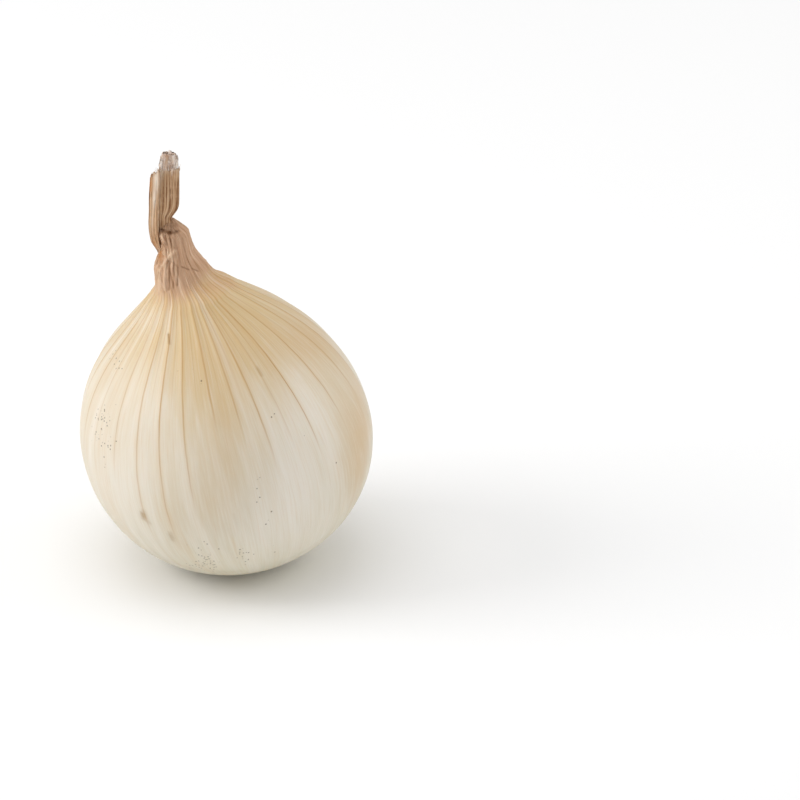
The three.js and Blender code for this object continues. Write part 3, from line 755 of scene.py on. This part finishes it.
def skin_fields(points, facing, degrees, above, columns):
    """What the skin's material needs to know at each point: veins, dryness, marks and patches."""
    strength, fades, spacing = columns
    side, up = seen(points)
    half = np.hypot(points[..., 0] - points[..., 0].mean(1, keepdims=True), points[..., 1])
    degrees = degrees[:, None]
    fade = 1 - smoothstep(degrees, fades - VEIN_FADE["before"], fades + VEIN_FADE["after"])
    fade = fade * (1 - VEIN_FADE["lower"] * smoothstep(degrees, VEIN_FADE["from"], VEIN_FADE["to"]))
    stain = np.zeros_like(half)
    for line, width, tone in STAINS:
        stain = np.maximum(stain, tone * np.exp(-((distance_to_line(side, up, line) / width) ** 2)) * facing)
    specks = patches_in_view(points, facing, [(x, y, r, r, s) for x, y, r, s in SPECK_CLUSTERS])
    higher = DRY_HIGHER * smoothstep(side, *DRY_HIGHER_FROM) * facing
    fields = {name: patches_in_view(points, facing, patches) for name, patches in SKIN_PATCHES.items()}
    return {
        **fields, "vein": strength * fade, "gap": spacing[None] * half, "specks": SPECK_SHARE * specks,
        "stain": stain, "dry": smoothstep(above[:, None] - higher, *DRY_SPAN),
    }


def make_skin(sizes):
    """The outer skin, from the crown of the neck down to the dish at the root end, as one closed surface."""
    around, phase, *columns = skin_columns()
    rib = rib_shape(phase)
    even = np.arange(BULB_ROWS) / BULB_ROWS
    eased = even - ROW_EASING * np.sin(2 * np.pi * even) / (2 * np.pi)
    polar = blend_to(math.radians(NECK_STARTS_AT), math.pi, eased)
    bulb = skin_point(polar[:, None], around[None], rib[None])
    neck = neck_rows(around, rib)
    last_x, last_up = NECK_STATIONS[-1][:2]
    top = np.array([last_x, 0, MIDDLE_HEIGHT + last_up + NECK_CROWN])
    points = np.concatenate([crown_rows(neck[-1], top)[::-1], neck[:0:-1], bulb])

    # How far up the neck each row is, its angle from the neck end, and its place on the map
    above = np.concatenate([np.ones(CROWN_ROWS), np.linspace(0, 1, NECK_ROWS)[:0:-1], np.zeros(BULB_ROWS)])
    degrees = np.full(len(points), float(NECK_STARTS_AT))
    degrees[-BULB_ROWS:] = np.degrees(polar)
    on_map = above.copy()
    on_map[:CROWN_ROWS] += np.linspace(CROWN_UV_SHARE, 0, CROWN_ROWS)
    v = degrees / 180 - NECK_UV_LENGTH * on_map
    below = RELIEF["below"] * (1 - smoothstep(degrees, NECK_STARTS_AT, RELIEF["below_to"]))
    neckness = smoothstep(above, 0, RELIEF["full_at"]) + below * (above < RELIEF["full_at"])
    points, painted_fold_shading, facing = relieved(points, phase, np.clip(neckness, 0, 1), sizes)
    points[..., 2] = np.maximum(points[..., 2], 0)
    low = point_at(plump_radius(math.pi, 0) - DISH_DEPTH, math.pi, 0.0)
    fields = {"painted_fold_shading": painted_fold_shading, **skin_fields(points, facing, degrees, above, columns)}
    ends = {
        name: np.concatenate([[values[0].mean()], values.ravel(), [values[-1].mean()]])
        for name, values in fields.items()
    }
    flat = np.concatenate([top[None], points.reshape(-1, 3), low[None]])
    faces, corners = closed_stack(len(points), len(phase), phase, v)
    return build_mesh("onion_skin", flat, faces, corners, ends)


def closed_stack(row_count, column_count, phase, v):
    """Faces and UV corners of rows of points round an axis, closed by a point at each end."""
    u = np.append(phase, phase[-1] + phase[1] - phase[0])
    bottom = 1 + row_count * column_count
    last = bottom - column_count
    faces, corners = [], []
    for i in range(column_count):
        after = (i + 1) % column_count
        left, right = u[i], u[i + 1]
        faces += [(0, 1 + i, 1 + after), (last + i, bottom, last + after)]
        corners += [(left, v[0]), (left, v[0]), (right, v[0]), (left, v[-1]), (left, v[-1]), (right, v[-1])]
        for row in range(row_count - 1):
            start = 1 + row * column_count
            below = start + column_count
            faces.append((start + i, below + i, below + after, start + after))
            corners += [(left, v[row]), (left, v[row + 1]), (right, v[row + 1]), (right, v[row])]
    return faces, corners


# The dead leaves


def leaf_base(x, y):
    """The height over the bulb's middle at which a leaf leaves the neck's crown."""
    last_x, last_up, wide, deep, tilt = NECK_STATIONS[-1]
    outwards = np.hypot((x - last_x) / wide, y / deep)
    rim = last_up + math.tan(math.radians(tilt)) * (x - last_x)
    return rim + NECK_CROWN * (1 - outwards) - LEAF_ROOTED


def torn_drop(across, depth, phase):
    """How much a torn edge drops at this share of the leaf's width: broad and fine steps and jagged teeth."""
    broad = np.abs(np.sin(TEAR["broad"] * across + phase))
    fine = np.abs(np.sin(TEAR["fine"] * across + 2 * phase))
    return depth * (0.65 * broad + 0.35 * fine + 0.3 * jagged(across, TEAR["teeth"], int(10 * phase)))


def jagged(share, count, seed):
    """A seeded jagged curve from 0 to 1 with this many teeth."""
    values = np.random.default_rng(seed).random(count)
    return np.interp(share, np.linspace(0, 1, count), values)


def blade_right(up):
    """How far right the main leaf reaches at this height: it is drawn in at its waist."""
    from_waist = np.maximum(0, up - BLADE_WAIST["up"]) / BLADE_WAIST["reach"]
    return BLADE["right"] - BLADE_WAIST["depth"] * np.exp(-(from_waist**2))


def fibre_relief(across, along, height, count, seed):
    """Fine ridges along a leaf, which wander a little on their way up."""
    wander = across + 0.012 * np.sin(5 * along + 9 * across) + 0.006 * np.sin(17 * along)
    return height * (jagged(wander, count, seed) + 0.5 * jagged(wander, 2 * count, seed + 1) - 0.75)


def blade_sheet(across, along):
    """The main leaf, folded flat round its right edge."""
    reach = np.minimum(1, BLADE_FOLD["steep"] * np.sin(np.pi * across))
    layer = -1 + 2 * smoothstep(across, BLADE_FOLD["from"], BLADE_FOLD["to"])
    x_at_base = BLADE["left"] + (blade_right(BLADE["from"]) - BLADE["left"]) * reach
    base = leaf_base(x_at_base, layer * BLADE["depth"])
    step = BLADE_STEP["drop"] * smoothstep(across, BLADE_STEP["from"], BLADE_STEP["to"])
    up = base + (BLADE["to"] - step - torn_drop(across, BLADE["torn"], 0.6) - base) * along
    ribs = BLADE_FOLD["rib"] * np.cos(2 * np.pi * BLADE["ribs"] * across)
    ribs = ribs + fibre_relief(across, along, *LEAF_FIBRES["blade"])
    bulge = BLADE_FOLD["bulge"] * np.sin(np.pi * along)
    x = BLADE["left"] + (blade_right(up) - BLADE["left"]) * reach
    return np.stack([x, layer * (BLADE["depth"] + LEAF_OUTWARD + ribs + bulge), MIDDLE_HEIGHT + up], -1)


def strip_sheet(across, along):
    """The narrow strip that has split from the leaf on the left."""
    top = STRIP["to"] + STRIP_BEND["rise"] * (0.5 - across) - torn_drop(across, STRIP["torn"], 2)
    up = STRIP["from"] + (top - STRIP["from"]) * along
    inset = STRIP_BEND["inset"] * (1 - smoothstep(up, STRIP["from"], STRIP_BEND["to"]))
    inset = inset + STRIP_BEND["tuck"] * (1 - smoothstep(up, STRIP["from"], STRIP_BEND["tuck_to"]))
    inset = inset + STRIP_BEND["over"] * smoothstep(up, STRIP_BEND["over_at"], STRIP["to"] - 2)
    curl = STRIP["curl"] * np.sin(np.pi * across)
    wave = STRIP_WAVE["side"] * np.sin(STRIP_WAVE["side_turns"] * along + STRIP_WAVE["side_at"])
    relief = fibre_relief(across, along, *LEAF_FIBRES["strip"]) + wave
    x = STRIP["x"] + inset - curl + STRIP["slant"] * (0.5 - across) + relief
    hug = STRIP_BEND["back"] * (1 - smoothstep(up, STRIP["from"], STRIP_BEND["back_to"]))
    y = STRIP["front"] + (STRIP["back"] - STRIP["front"]) * across + hug
    y = y + STRIP_WAVE["deep"] * np.sin(STRIP_WAVE["deep_turns"] * along)
    return np.stack([x, y, MIDDLE_HEIGHT + up], -1)


def tip_sheet(across, along):
    """The pale inner leaf, with a ragged end."""
    crown = TIP_END["crown"] * (2 * across - 1) ** 4
    x_at_base = TIP["left"] + (blade_right(BLADE["from"]) - TIP["inset"] - TIP["left"]) * across
    base = leaf_base(x_at_base, 0)
    up = base + (TIP["to"] - crown - torn_drop(across, TIP["torn"], 1.2) - base) * along
    spread = TIP["spread"] * smoothstep(up, BLADE["to"], BLADE["to"] + 2)
    narrow = TIP_END["narrow"] * smoothstep(along, TIP_END["from"], 1)
    left = TIP["left"] + narrow
    x = left + (blade_right(up) - TIP["inset"] + spread - narrow - left) * across
    ripple = TIP_END["ripple"] * np.sin(TIP_END["ripples"] * across)
    y = ripple + fibre_relief(across, along, *LEAF_FIBRES["tip"]) - TIP["forward"]
    return np.stack([x, y, MIDDLE_HEIGHT + up], -1)


def leaf_mesh(name, sheet, columns, rows, thickness, golden, pale):
    """A leaf of even thickness from a sheet, with its UV map in millimetres and fields for its tints."""
    across, along = np.meshgrid(np.linspace(0, 1, columns + 1), np.linspace(0, 1, rows + 1))
    middle = sheet(across, along)
    side = sheet(across + SHEET_STEP, along) - sheet(across - SHEET_STEP, along)
    upward = sheet(across, along + SHEET_STEP) - sheet(across, along - SHEET_STEP)
    half = unit(np.cross(side, upward)) * thickness / 2
    points = np.concatenate([(middle + half).reshape(-1, 3), (middle - half).reshape(-1, 3)])
    grid = np.arange(across.size).reshape(across.shape)
    a, b, c, d = (part.ravel() for part in (grid[:-1, :-1], grid[:-1, 1:], grid[1:, 1:], grid[1:, :-1]))
    quads = [np.stack([a, b, c, d], -1), np.stack([a, d, c, b], -1) + grid.size]
    for edge in (grid[0], grid[-1, ::-1], grid[::-1, 0], grid[:, -1]):
        first, second = edge[:-1], edge[1:]
        quads.append(np.stack([first, first + grid.size, second + grid.size, second], -1))
    faces = facing_out(points, np.concatenate(quads).tolist())
    # On the map, u is the way across the leaf half way up, and v the height
    way = np.cumsum(np.linalg.norm(np.diff(middle[rows // 2], axis=0), axis=1))
    u = np.broadcast_to(np.append(0, way), across.shape)
    on_map = np.tile(np.stack([u, middle[..., 2]], -1).reshape(-1, 2), (2, 1))
    tints = {"golden": patches_in_view(middle, 1.0, golden), "pale": patches_in_view(middle, 1.0, pale)}
    fields = {field: np.tile(values.ravel(), 2) for field, values in tints.items()}
    return build_mesh(name, points, faces, on_map[np.array(faces).ravel()], fields)


def edge_spots(random, count, low, high):
    """Places along a leaf's torn end, at random heights from low to high."""
    return [(across, random.uniform(low, high)) for across in np.linspace(0.02, 0.98, count)]


# Geometry Nodes: the loose fibres of the leaves and the tubes of the roots


def new_tree(name, inputs):
    """A node tree that takes and gives geometry and has these inputs; returns it and its input node."""
    tree = bpy.data.node_groups.new(name, "GeometryNodeTree")
    for way in ("INPUT", "OUTPUT"):
        tree.interface.new_socket("Geometry", in_out=way, socket_type="NodeSocketGeometry")
    for key, value in inputs.items():
        kind = "NodeSocketInt" if isinstance(value, int) else "NodeSocketFloat"
        tree.interface.new_socket(key, in_out="INPUT", socket_type=kind).default_value = value
    return tree, add(tree, "NodeGroupInput")


def along_way(tree):
    """The rotation that stands a thing along its point's "way"."""
    way = add(tree, "GeometryNodeInputNamedAttribute", {"Name": "way"}, data_type="FLOAT_VECTOR")
    return add(tree, "FunctionNodeAlignRotationToVector", {"Vector": way}, axis="Z")


def put_on_points(tree, given, thing, rotation, material):
    """Ends a tree: the thing stands on each point in the point's "size", made real, with its material."""
    size = add(tree, "GeometryNodeInputNamedAttribute", {"Name": "size"}, data_type="FLOAT")
    placed = add(tree, "GeometryNodeInstanceOnPoints", {
        "Points": given.outputs["Geometry"], "Instance": thing, "Rotation": rotation, "Scale": size,
    })
    real = add(tree, "GeometryNodeRealizeInstances", {"Geometry": placed})
    dressed = add(tree, "GeometryNodeSetMaterial", {"Geometry": real, "Material": material})
    add(tree, "NodeGroupOutput", {"Geometry": dressed})
    return tree


def fibre_tree(material):
    """Frayed fibres: on each point a thin, bent, tapering strand that grows along the point's "way"."""
    tree, given = new_tree("Frayed fibres", {"Length": 0.003, "Thickness": 0.0001, "Bend": 0.0008, "Seed": 1})
    strand = add(tree, "GeometryNodeCurveQuadraticBezier", {
        "Resolution": 4, "Start": (0.0, 0.0, 0.0),
        "Middle": add(tree, "ShaderNodeCombineXYZ", {0: given.outputs["Bend"], 2: given.outputs["Length"]}),
        "End": add(tree, "ShaderNodeCombineXYZ", {2: given.outputs["Length"]}),
    })
    share = add(tree, "GeometryNodeSplineParameter").outputs["Factor"]
    taper = add(tree, "ShaderNodeMapRange", {"Value": share, 1: 0.0, 2: 1.0, 3: 1.0, 4: 0.25})
    width = add(tree, "ShaderNodeMath", {0: taper, 1: given.outputs["Thickness"]}, operation="MULTIPLY")
    sized = add(tree, "GeometryNodeSetCurveRadius", {"Curve": strand, "Radius": width})
    section = add(tree, "GeometryNodeCurvePrimitiveCircle", {"Resolution": 4, "Radius": 1.0})
    solid = add(tree, "GeometryNodeCurveToMesh", {
        "Curve": sized, "Profile Curve": section, "Fill Caps": True,
    })
    if "Scale" in solid.inputs:
        tree.links.new(width.outputs[0], solid.inputs["Scale"])
    # Each strand is spun about its own length, up to a whole turn
    spin = add(tree, "FunctionNodeRandomValue", {
        2: 0.0, 3: 6.283, "Seed": given.outputs["Seed"],
    }, data_type="FLOAT")
    about = add(tree, "ShaderNodeCombineXYZ", {2: spin})
    spun = add(tree, "FunctionNodeRotateRotation", {
        "Rotation": along_way(tree), "Rotate By": add(tree, "FunctionNodeEulerToRotation", {0: about}),
    }, rotation_space="LOCAL")
    return put_on_points(tree, given, solid, spun, material)


def tube_tree(material):
    """Cut root tubes: on each point a hollow tube with few sides, which stands along the point's "way"."""
    tree, given = new_tree("Root tubes", {"Radius": 0.0006, "Bore": 0.55, "Length": 0.002, "Sides": 9})
    post = add(tree, "GeometryNodeMeshCylinder", {
        "Vertices": given.outputs["Sides"], "Radius": given.outputs["Radius"],
        "Depth": given.outputs["Length"],
    })
    # The top face is copied in place and drawn in, which leaves a rim, and then pushed down into the tube
    rim = add(tree, "GeometryNodeExtrudeMesh", {
        "Mesh": post.outputs["Mesh"], "Selection": post.outputs["Top"],
        "Offset": add(tree, "ShaderNodeCombineXYZ"), "Offset Scale": 0.0, "Individual": False,
    }, mode="FACES")
    narrowed = add(tree, "GeometryNodeScaleElements", {
        "Geometry": rim.outputs["Mesh"], "Selection": rim.outputs["Top"], "Scale": given.outputs["Bore"],
    }, domain="FACE")
    depth = add(tree, "ShaderNodeMath", {0: given.outputs["Length"], 1: -0.5}, operation="MULTIPLY")
    hollow = add(tree, "GeometryNodeExtrudeMesh", {
        "Mesh": narrowed, "Selection": rim.outputs["Top"],
        "Offset": add(tree, "ShaderNodeCombineXYZ", {2: depth}), "Offset Scale": 1.0, "Individual": False,
    }, mode="FACES")
    # The rim is pale, the hollow darkened with painted shade
    pale = add(tree, "ShaderNodeMath", {0: rim.outputs["Side"], 1: 0.38, 2: -0.06}, operation="MULTIPLY_ADD")
    inside = add(tree, "FunctionNodeBooleanMath", {
        0: hollow.outputs["Top"], 1: hollow.outputs["Side"],
    }, operation="OR")
    tip = add(tree, "ShaderNodeMath", {0: inside, 1: -0.3, 2: pale}, operation="MULTIPLY_ADD")
    toned = add(tree, "GeometryNodeStoreNamedAttribute", {
        "Geometry": hollow.outputs["Mesh"], "Name": "tip", "Value": tip,
    }, data_type="FLOAT", domain="FACE")
    return put_on_points(tree, given, toned, along_way(tree), material)


def grown(name, points, scales, ways, tree, values):
    """Runs a node tree on bare points with a "size" and a "way", and keeps what grows as a plain mesh."""
    bare = bpy.data.meshes.new(name)
    bare.from_pydata((points * MM).tolist(), [], [])
    bare.attributes.new("size", "FLOAT", "POINT").data.foreach_set("value", scales.astype(np.float32))
    flat = ways.astype(np.float32).ravel()
    bare.attributes.new("way", "FLOAT_VECTOR", "POINT").data.foreach_set("vector", flat)
    source = bpy.data.objects.new(name, bare)
    bpy.context.scene.collection.objects.link(source)
    modifier = source.modifiers.new(name, "NODES")
    modifier.node_group = tree
    sockets = {item.name: item.identifier for item in tree.interface.items_tree if item.in_out == "INPUT"}
    for key, value in values.items():
        modifier[sockets[key]] = value
    source.update_tag()
    bpy.context.view_layer.update()
    evaluated = source.evaluated_get(bpy.context.evaluated_depsgraph_get())
    mesh = bpy.data.meshes.new_from_object(evaluated)
    bpy.data.objects.remove(source)
    bpy.data.meshes.remove(bare)
    mesh.name = name
    made = bpy.data.objects.new(name, mesh)
    bpy.context.scene.collection.objects.link(made)
    return made


# The leaves with their fibres, and the root plate


def make_fibres(sizes, name, sheet, spots, seed, size, lean, slot, material):
    """Loose fibres that stand out of a torn leaf at (across, along) spots, as one piece."""
    random = np.random.default_rng(seed)
    across, along = np.array(spots).T
    points = sheet(across, along)
    upward = unit(points - sheet(across, along - 0.02))
    ways = unit(upward + random.normal(0, lean, points.shape))
    scales = size * random.uniform(*FIBRE_SCALE, len(points))
    piece = grown(name, points, scales, ways, fibre_tree(material), {
        "Length": sizes.fibre_length, "Thickness": sizes.fibre_thickness,
        "Bend": FIBRE_BEND * sizes.fibre_length, "Seed": seed,
    })
    dress(piece, slot, None)


def make_leaves(look, sizes):
    """The folded leaf, the split strip and the pale inner leaf, with loose fibres on their torn edges."""
    dead = withered_material(
        "Withered leaf", look.leaf_dark, look.leaf, look.leaf_pale, look.amber, look.torn
    )
    inner = withered_material(
        "Bleached leaf", look.inner_dark, look.inner, look.inner_pale, look.amber, look.torn, 1.4
    )
    # The solid, slot, material, sheet, columns, rows and thickness, and where it is golden and pale
    for node, slot, material, *shape in (
        ("leaf_blade", "dry_leaf", dead, blade_sheet, 200, 90, LEAF_THICKNESS, [], BLADE_PALE),
        ("leaf_strip", "dry_strip", dead, strip_sheet, 48, 110, LEAF_THICKNESS, STRIP_GOLDEN, STRIP_PALE),
        ("leaf_tip", "pale_leaf", inner, tip_sheet, 80, 90, TIP_THICKNESS, TIP_GOLDEN, []),
    ):
        dress(leaf_mesh(node + "_dried", *shape), slot, material, node)

    random = np.random.default_rng(31)
    end_and_slit = edge_spots(random, 90, 0.93, 0.99)
    end_and_slit += [(random.uniform(0.0, 0.12), random.uniform(0.45, 0.97)) for _ in range(60)]
    strip_end = edge_spots(random, 24, 0.92, 0.99)
    tip_end = edge_spots(random, 60, 0.85, 0.96)
    # Name, sheet, spots, seed, size, how much the fibres lean, slot and material
    for fibres in (
        ("leaf_blade_fibres", blade_sheet, end_and_slit, 3, 0.8, 0.12, "dry_leaf", dead),
        ("leaf_strip_fibres", strip_sheet, strip_end, 5, 0.7, 0.12, "dry_strip", dead),
        ("leaf_tip_fibres", tip_sheet, tip_end, 9, 0.35, 0.3, "pale_leaf", inner),
    ):
        make_fibres(sizes, *fibres)


def make_root_disc(material):
    """The root plate's rough disc, sunk into the dish at the root end."""
    share = np.linspace(0, 1, PLATE["rings"])[:, None]
    around = np.linspace(0, 2 * np.pi, PLATE["sides"], endpoint=False)[None]
    from_neck = math.pi - math.radians(PLATE["edge"]) * share
    radius = plump_radius(from_neck, around)
    outer = point_at(radius - PLATE["sunk"], from_neck, around)
    inner = point_at(radius - DISH_DEPTH + PLATE["foot"], from_neck, around)
    outer[..., 2] += PLATE["lumps"] * noise_at(outer, PLATE["lump_size"])
    rows = np.concatenate([outer[1:], inner[:0:-1]])
    flat = np.concatenate([outer[:1, 0], rows.reshape(-1, 3), inner[:1, 0]])
    faces = closed_stack(len(rows), PLATE["sides"], np.arange(PLATE["sides"]), np.zeros(len(rows)))[0]
    # The whole disc leans to the dark stop, as painted shade between the roots
    tone = {"tip": np.full(len(flat), PLATE["tone"])}
    disc = build_mesh("root_plate_disc", flat, facing_out(flat, faces), None, tone)
    dress(disc, "dry_root", material, "root_plate")


def make_root_tubes(material, sizes):
    """The cut, hollow roots: a spiral of them over the plate, splayed and clear of the floor."""
    random = np.random.default_rng(7)
    index = np.arange(sizes.root_count)
    from_root = math.radians(PLATE["edge"]) * ROOTS["spread"] * np.sqrt((index + 0.5) / sizes.root_count)
    turn = index * GOLDEN_ANGLE + random.normal(0, ROOTS["askew"], len(index))
    skin = plump_radius(math.pi - from_root, turn)
    foot = point_at(skin - PLATE["sunk"] - ROOTS["rooted"], math.pi - from_root, turn)
    splay = from_root * ROOTS["splay"] + math.radians(ROOTS["lean"]) * random.normal(0, 1, len(index))
    tip = point_at(skin + 1, math.pi - splay, turn + random.normal(0, ROOTS["turned"], len(index)))
    ways = unit(tip - foot)
    scales = random.uniform(*ROOTS["scale"], len(index))
    half = sizes.root_length / MM * scales / 2
    middle = foot + ways * half[:, None]
    lowest = middle[:, 2] - np.abs(ways[:, 2]) * half - 0.5 * scales
    middle[:, 2] += np.maximum(0, ROOTS["clearance"] - lowest)
    tubes = grown("root_tubes", middle, scales, ways, tube_tree(material), {
        "Radius": sizes.root_radius, "Length": sizes.root_length,
    })
    dress(tubes, "dry_root", None)


def make_root_plate(look, sizes):
    """The root plate: a rough disc and the cut roots that stand on it."""
    material = root_material(look)
    make_root_disc(material)
    make_root_tubes(material, sizes)


# The floor, the light and the camera


def area_light(name, power, size, place_at, look_at):
    """A soft, square light that faces a point."""
    data = bpy.data.lights.new(name, "AREA")
    data.energy = power
    data.size = size
    light = bpy.data.objects.new(name, data)
    light.location = place_at
    light.rotation_euler = (Vector(look_at) - Vector(place_at)).to_track_quat("-Z", "Y").to_euler()
    bpy.context.scene.collection.objects.link(light)


def set_stage(look, sizes):
    """A white paper floor, soft light and the camera, which looks down on the onion through a long lens."""
    scene = bpy.context.scene
    scene.view_settings.view_transform = "Standard"
    corners = FLOOR_HALF * np.array([(-1, -1, 0), (1, -1, 0), (1, 1, 0), (-1, 1, 0)])
    floor = build_mesh("floor", corners, [(0, 1, 2, 3)])
    floor.data.materials.append(floor_material(look))
    world = bpy.data.worlds.new("Studio")
    world.use_nodes = True
    background = world.node_tree.nodes["Background"]
    background.inputs["Color"].default_value = (1, 1, 1, 1)
    background.inputs["Strength"].default_value = WORLD_STRENGTH
    scene.world = world
    middle = Vector((0, 0, MIDDLE_HEIGHT * MM))
    for light in LIGHTS:
        area_light(*light, middle)

    camera = bpy.data.objects.new("Camera", bpy.data.cameras.new("Camera"))
    camera.data.lens = sizes.lens
    camera.data.sensor_width = SENSOR
    camera.data.clip_end = 100
    away = FRAME_WIDTH * MM * sizes.lens / SENSOR
    tilt = sizes.elevation
    look_from = Vector((0, -math.cos(tilt), math.sin(tilt)))
    view_up = Vector((0, math.sin(tilt), math.cos(tilt)))
    aim = middle + Vector((FRAME_RIGHT * MM, 0, 0)) + view_up * FRAME_UP * MM
    camera.location = aim + look_from * away
    camera.rotation_euler = (-look_from).to_track_quat("-Z", "Y").to_euler()
    scene.collection.objects.link(camera)
    scene.camera = camera


# Settings, operators and the panel


def tint(name, colour, description):
    """A colour setting."""
    return bpy.props.FloatVectorProperty(
        name=name, description=description, size=4, min=0, max=1, subtype="COLOR", default=linear(colour)
    )


def length(name, millimetres, description):
    """A length setting."""
    return bpy.props.FloatProperty(
        name=name, description=description, default=millimetres * MM, min=0, unit="LENGTH", precision=5
    )


class OnionColours(bpy.types.PropertyGroup):
    """The colours of the onion and its floor, and the finish of its skin"""

    neck_foot: tint("Neck foot", "#d3ad88", "Skin where the neck begins")
    shoulder: tint("Shoulder", "#d8be8f", "Ochre skin round the foot of the neck")
    upper: tint("Upper skin", "#d6c19b", "Skin of the upper bulb")
    middle: tint("Middle skin", "#dccfb7", "Skin at the widest part")
    lower: tint("Lower skin", "#d7cfbc", "Skin of the lower bulb")
    under: tint("Underside", "#d9d3bd", "Skin of the underside")
    root_end: tint("Root end", "#c4bd90", "Skin round the root plate")
    # Also the colour of the painted shade in the warm patches
    warm: tint("Warm skin", "#d0ae7c", "Ochre patches and bands of the skin")
    # Also the colour of the painted light in the white patches
    white: tint("White skin", "#ece5da", "Whitish patches and bands of the skin")
    vein: tint("Vein", "#b5884c", "Dark line of a vein")
    vein_halo: tint("Vein edge", "#cfac74", "Tint beside a vein")
    speck: tint("Speck", "#66503a", "Specks of soil and mould")
    stain: tint("Stain", "#9a7338", "Brown marks")
    neck: tint("Neck", "#c7a081", "Dry tissue of the neck")
    neck_dark: tint("Neck, dark", "#a97f58", "Dark streaks of the neck")
    neck_pale: tint("Neck, pale", "#e2c4a6", "Pale streaks of the neck")
    # The colour of the painted shade in the neck's creases
    painted_fold_shading: tint("Crease", "#7a4f2a", "Deep creases of the neck")
    # Also tints the hollow under the neck's outer flap, partly as painted shade
    amber: tint("Amber", "#b4763a", "Thin, golden tissue")
    leaf: tint("Leaf", "#b48c66", "Dead leaf")
    leaf_dark: tint("Leaf, dark", "#825935", "Dark fibres of the dead leaf")
    leaf_pale: tint("Leaf, pale", "#cdab88", "Pale fibres of the dead leaf")
    torn: tint("Torn edge", "#e2d2bf", "Pale torn tissue")
    inner: tint("Inner leaf", "#dcc4b2", "Inner leaf at the tip")
    inner_dark: tint("Inner leaf, dark", "#c0a188", "Dark fibres of the inner leaf")
    inner_pale: tint("Inner leaf, pale", "#eadcd1", "Pale fibres of the inner leaf")
    root: tint("Root", "#6f472d", "Dried roots")
    root_pale: tint("Root, pale", "#a37b55", "Worn roots")
    root_tip: tint("Root rim", "#cfa980", "Cut rims of the roots")
    # The colour of the painted shade between and inside the roots
    gap: tint("Root gap", "#23140c", "Between and inside the roots")
    floor: tint("Floor", "#fdfdfd", "Studio paper")
    vein_width: length("Vein width", 0.23, "Width of the dark line of a vein")
    skin_roughness: bpy.props.FloatProperty(
        name="Skin roughness", description="How matt the bulb's skin is", default=0.42, min=0, max=1,
        subtype="FACTOR",
    )


class OnionSizes(bpy.types.PropertyGroup):
    """The sizes of the onion's relief, fibres and roots, and the camera"""

    fold_depth: length("Fold depth", 0.22, "Height of the fine ridges of the neck")
    crumple_depth: length("Crumple depth", 0.4, "Height of the crumpled tissue at the front of the neck")
    fibre_length: length("Fibre length", 2.2, "Length of a loose fibre")
    fibre_thickness: length("Fibre thickness", 0.07, "Half thickness of a loose fibre")
    root_count: bpy.props.IntProperty(name="Roots", description="Number of cut roots", default=260, min=1)
    root_radius: length("Root radius", 0.62, "Outer radius of a cut root")
    root_length: length("Root length", 1.9, "Length of a cut root")
    elevation: bpy.props.FloatProperty(
        name="Camera elevation", description="How far the camera looks down", subtype="ANGLE",
        default=math.radians(VIEW_ELEVATION),
    )
    lens: bpy.props.FloatProperty(
        name="Lens", description="Focal length of the camera", default=1500, min=1, unit="CAMERA"
    )


class ONION_OT_stage(bpy.types.Operator):
    """Sets the floor, the soft lights and the camera"""

    bl_idname = "onion.stage"
    bl_label = "Set the stage"

    def execute(self, context):
        set_stage(context.scene.onion_colours, context.scene.onion_sizes)
        return {"FINISHED"}


class ONION_OT_skin(bpy.types.Operator):
    """Makes the skin of the bulb and neck"""

    bl_idname = "onion.skin"
    bl_label = "Make the skin"

    def execute(self, context):
        look, sizes = context.scene.onion_colours, context.scene.onion_sizes
        dress(make_skin(sizes), "skin", skin_material(look), "bulb", "neck")
        return {"FINISHED"}


class ONION_OT_leaves(bpy.types.Operator):
    """Makes the dead leaves above the neck and their loose fibres"""

    bl_idname = "onion.leaves"
    bl_label = "Make the dead leaves"

    def execute(self, context):
        make_leaves(context.scene.onion_colours, context.scene.onion_sizes)
        return {"FINISHED"}


class ONION_OT_roots(bpy.types.Operator):
    """Makes the root plate with its cut roots"""

    bl_idname = "onion.roots"
    bl_label = "Make the roots"

    def execute(self, context):
        make_root_plate(context.scene.onion_colours, context.scene.onion_sizes)
        return {"FINISHED"}


class ONION_PT_panel(bpy.types.Panel):
    """Lists the steps that make the onion, and its settings"""

    bl_idname = "ONION_PT_panel"
    bl_label = "Onion"
    bl_space_type = "VIEW_3D"
    bl_region_type = "UI"
    bl_category = "Onion"

    def draw(self, context):
        for operator in OPERATORS:
            self.layout.operator(operator.bl_idname)
        for group in (context.scene.onion_sizes, context.scene.onion_colours):
            for name in group.__annotations__:
                self.layout.prop(group, name)


OPERATORS = (ONION_OT_stage, ONION_OT_skin, ONION_OT_leaves, ONION_OT_roots)
CLASSES = (OnionColours, OnionSizes, *OPERATORS, ONION_PT_panel)


def register():
    """Registers the classes and puts the settings on the scene."""
    for each in CLASSES:
        bpy.utils.register_class(each)
    bpy.types.Scene.onion_colours = bpy.props.PointerProperty(type=OnionColours)
    bpy.types.Scene.onion_sizes = bpy.props.PointerProperty(type=OnionSizes)


def unregister():
    """Takes the settings and the classes away again."""
    del bpy.types.Scene.onion_sizes
    del bpy.types.Scene.onion_colours
    for each in reversed(CLASSES):
        bpy.utils.unregister_class(each)


def main():
    """Registers the settings and makes everything: the stage, the skin, the dead leaves and the roots."""
    register()
    bpy.ops.onion.stage()
    bpy.ops.onion.skin()
    bpy.ops.onion.leaves()
    bpy.ops.onion.roots()


if __name__ == "__main__":
    main()
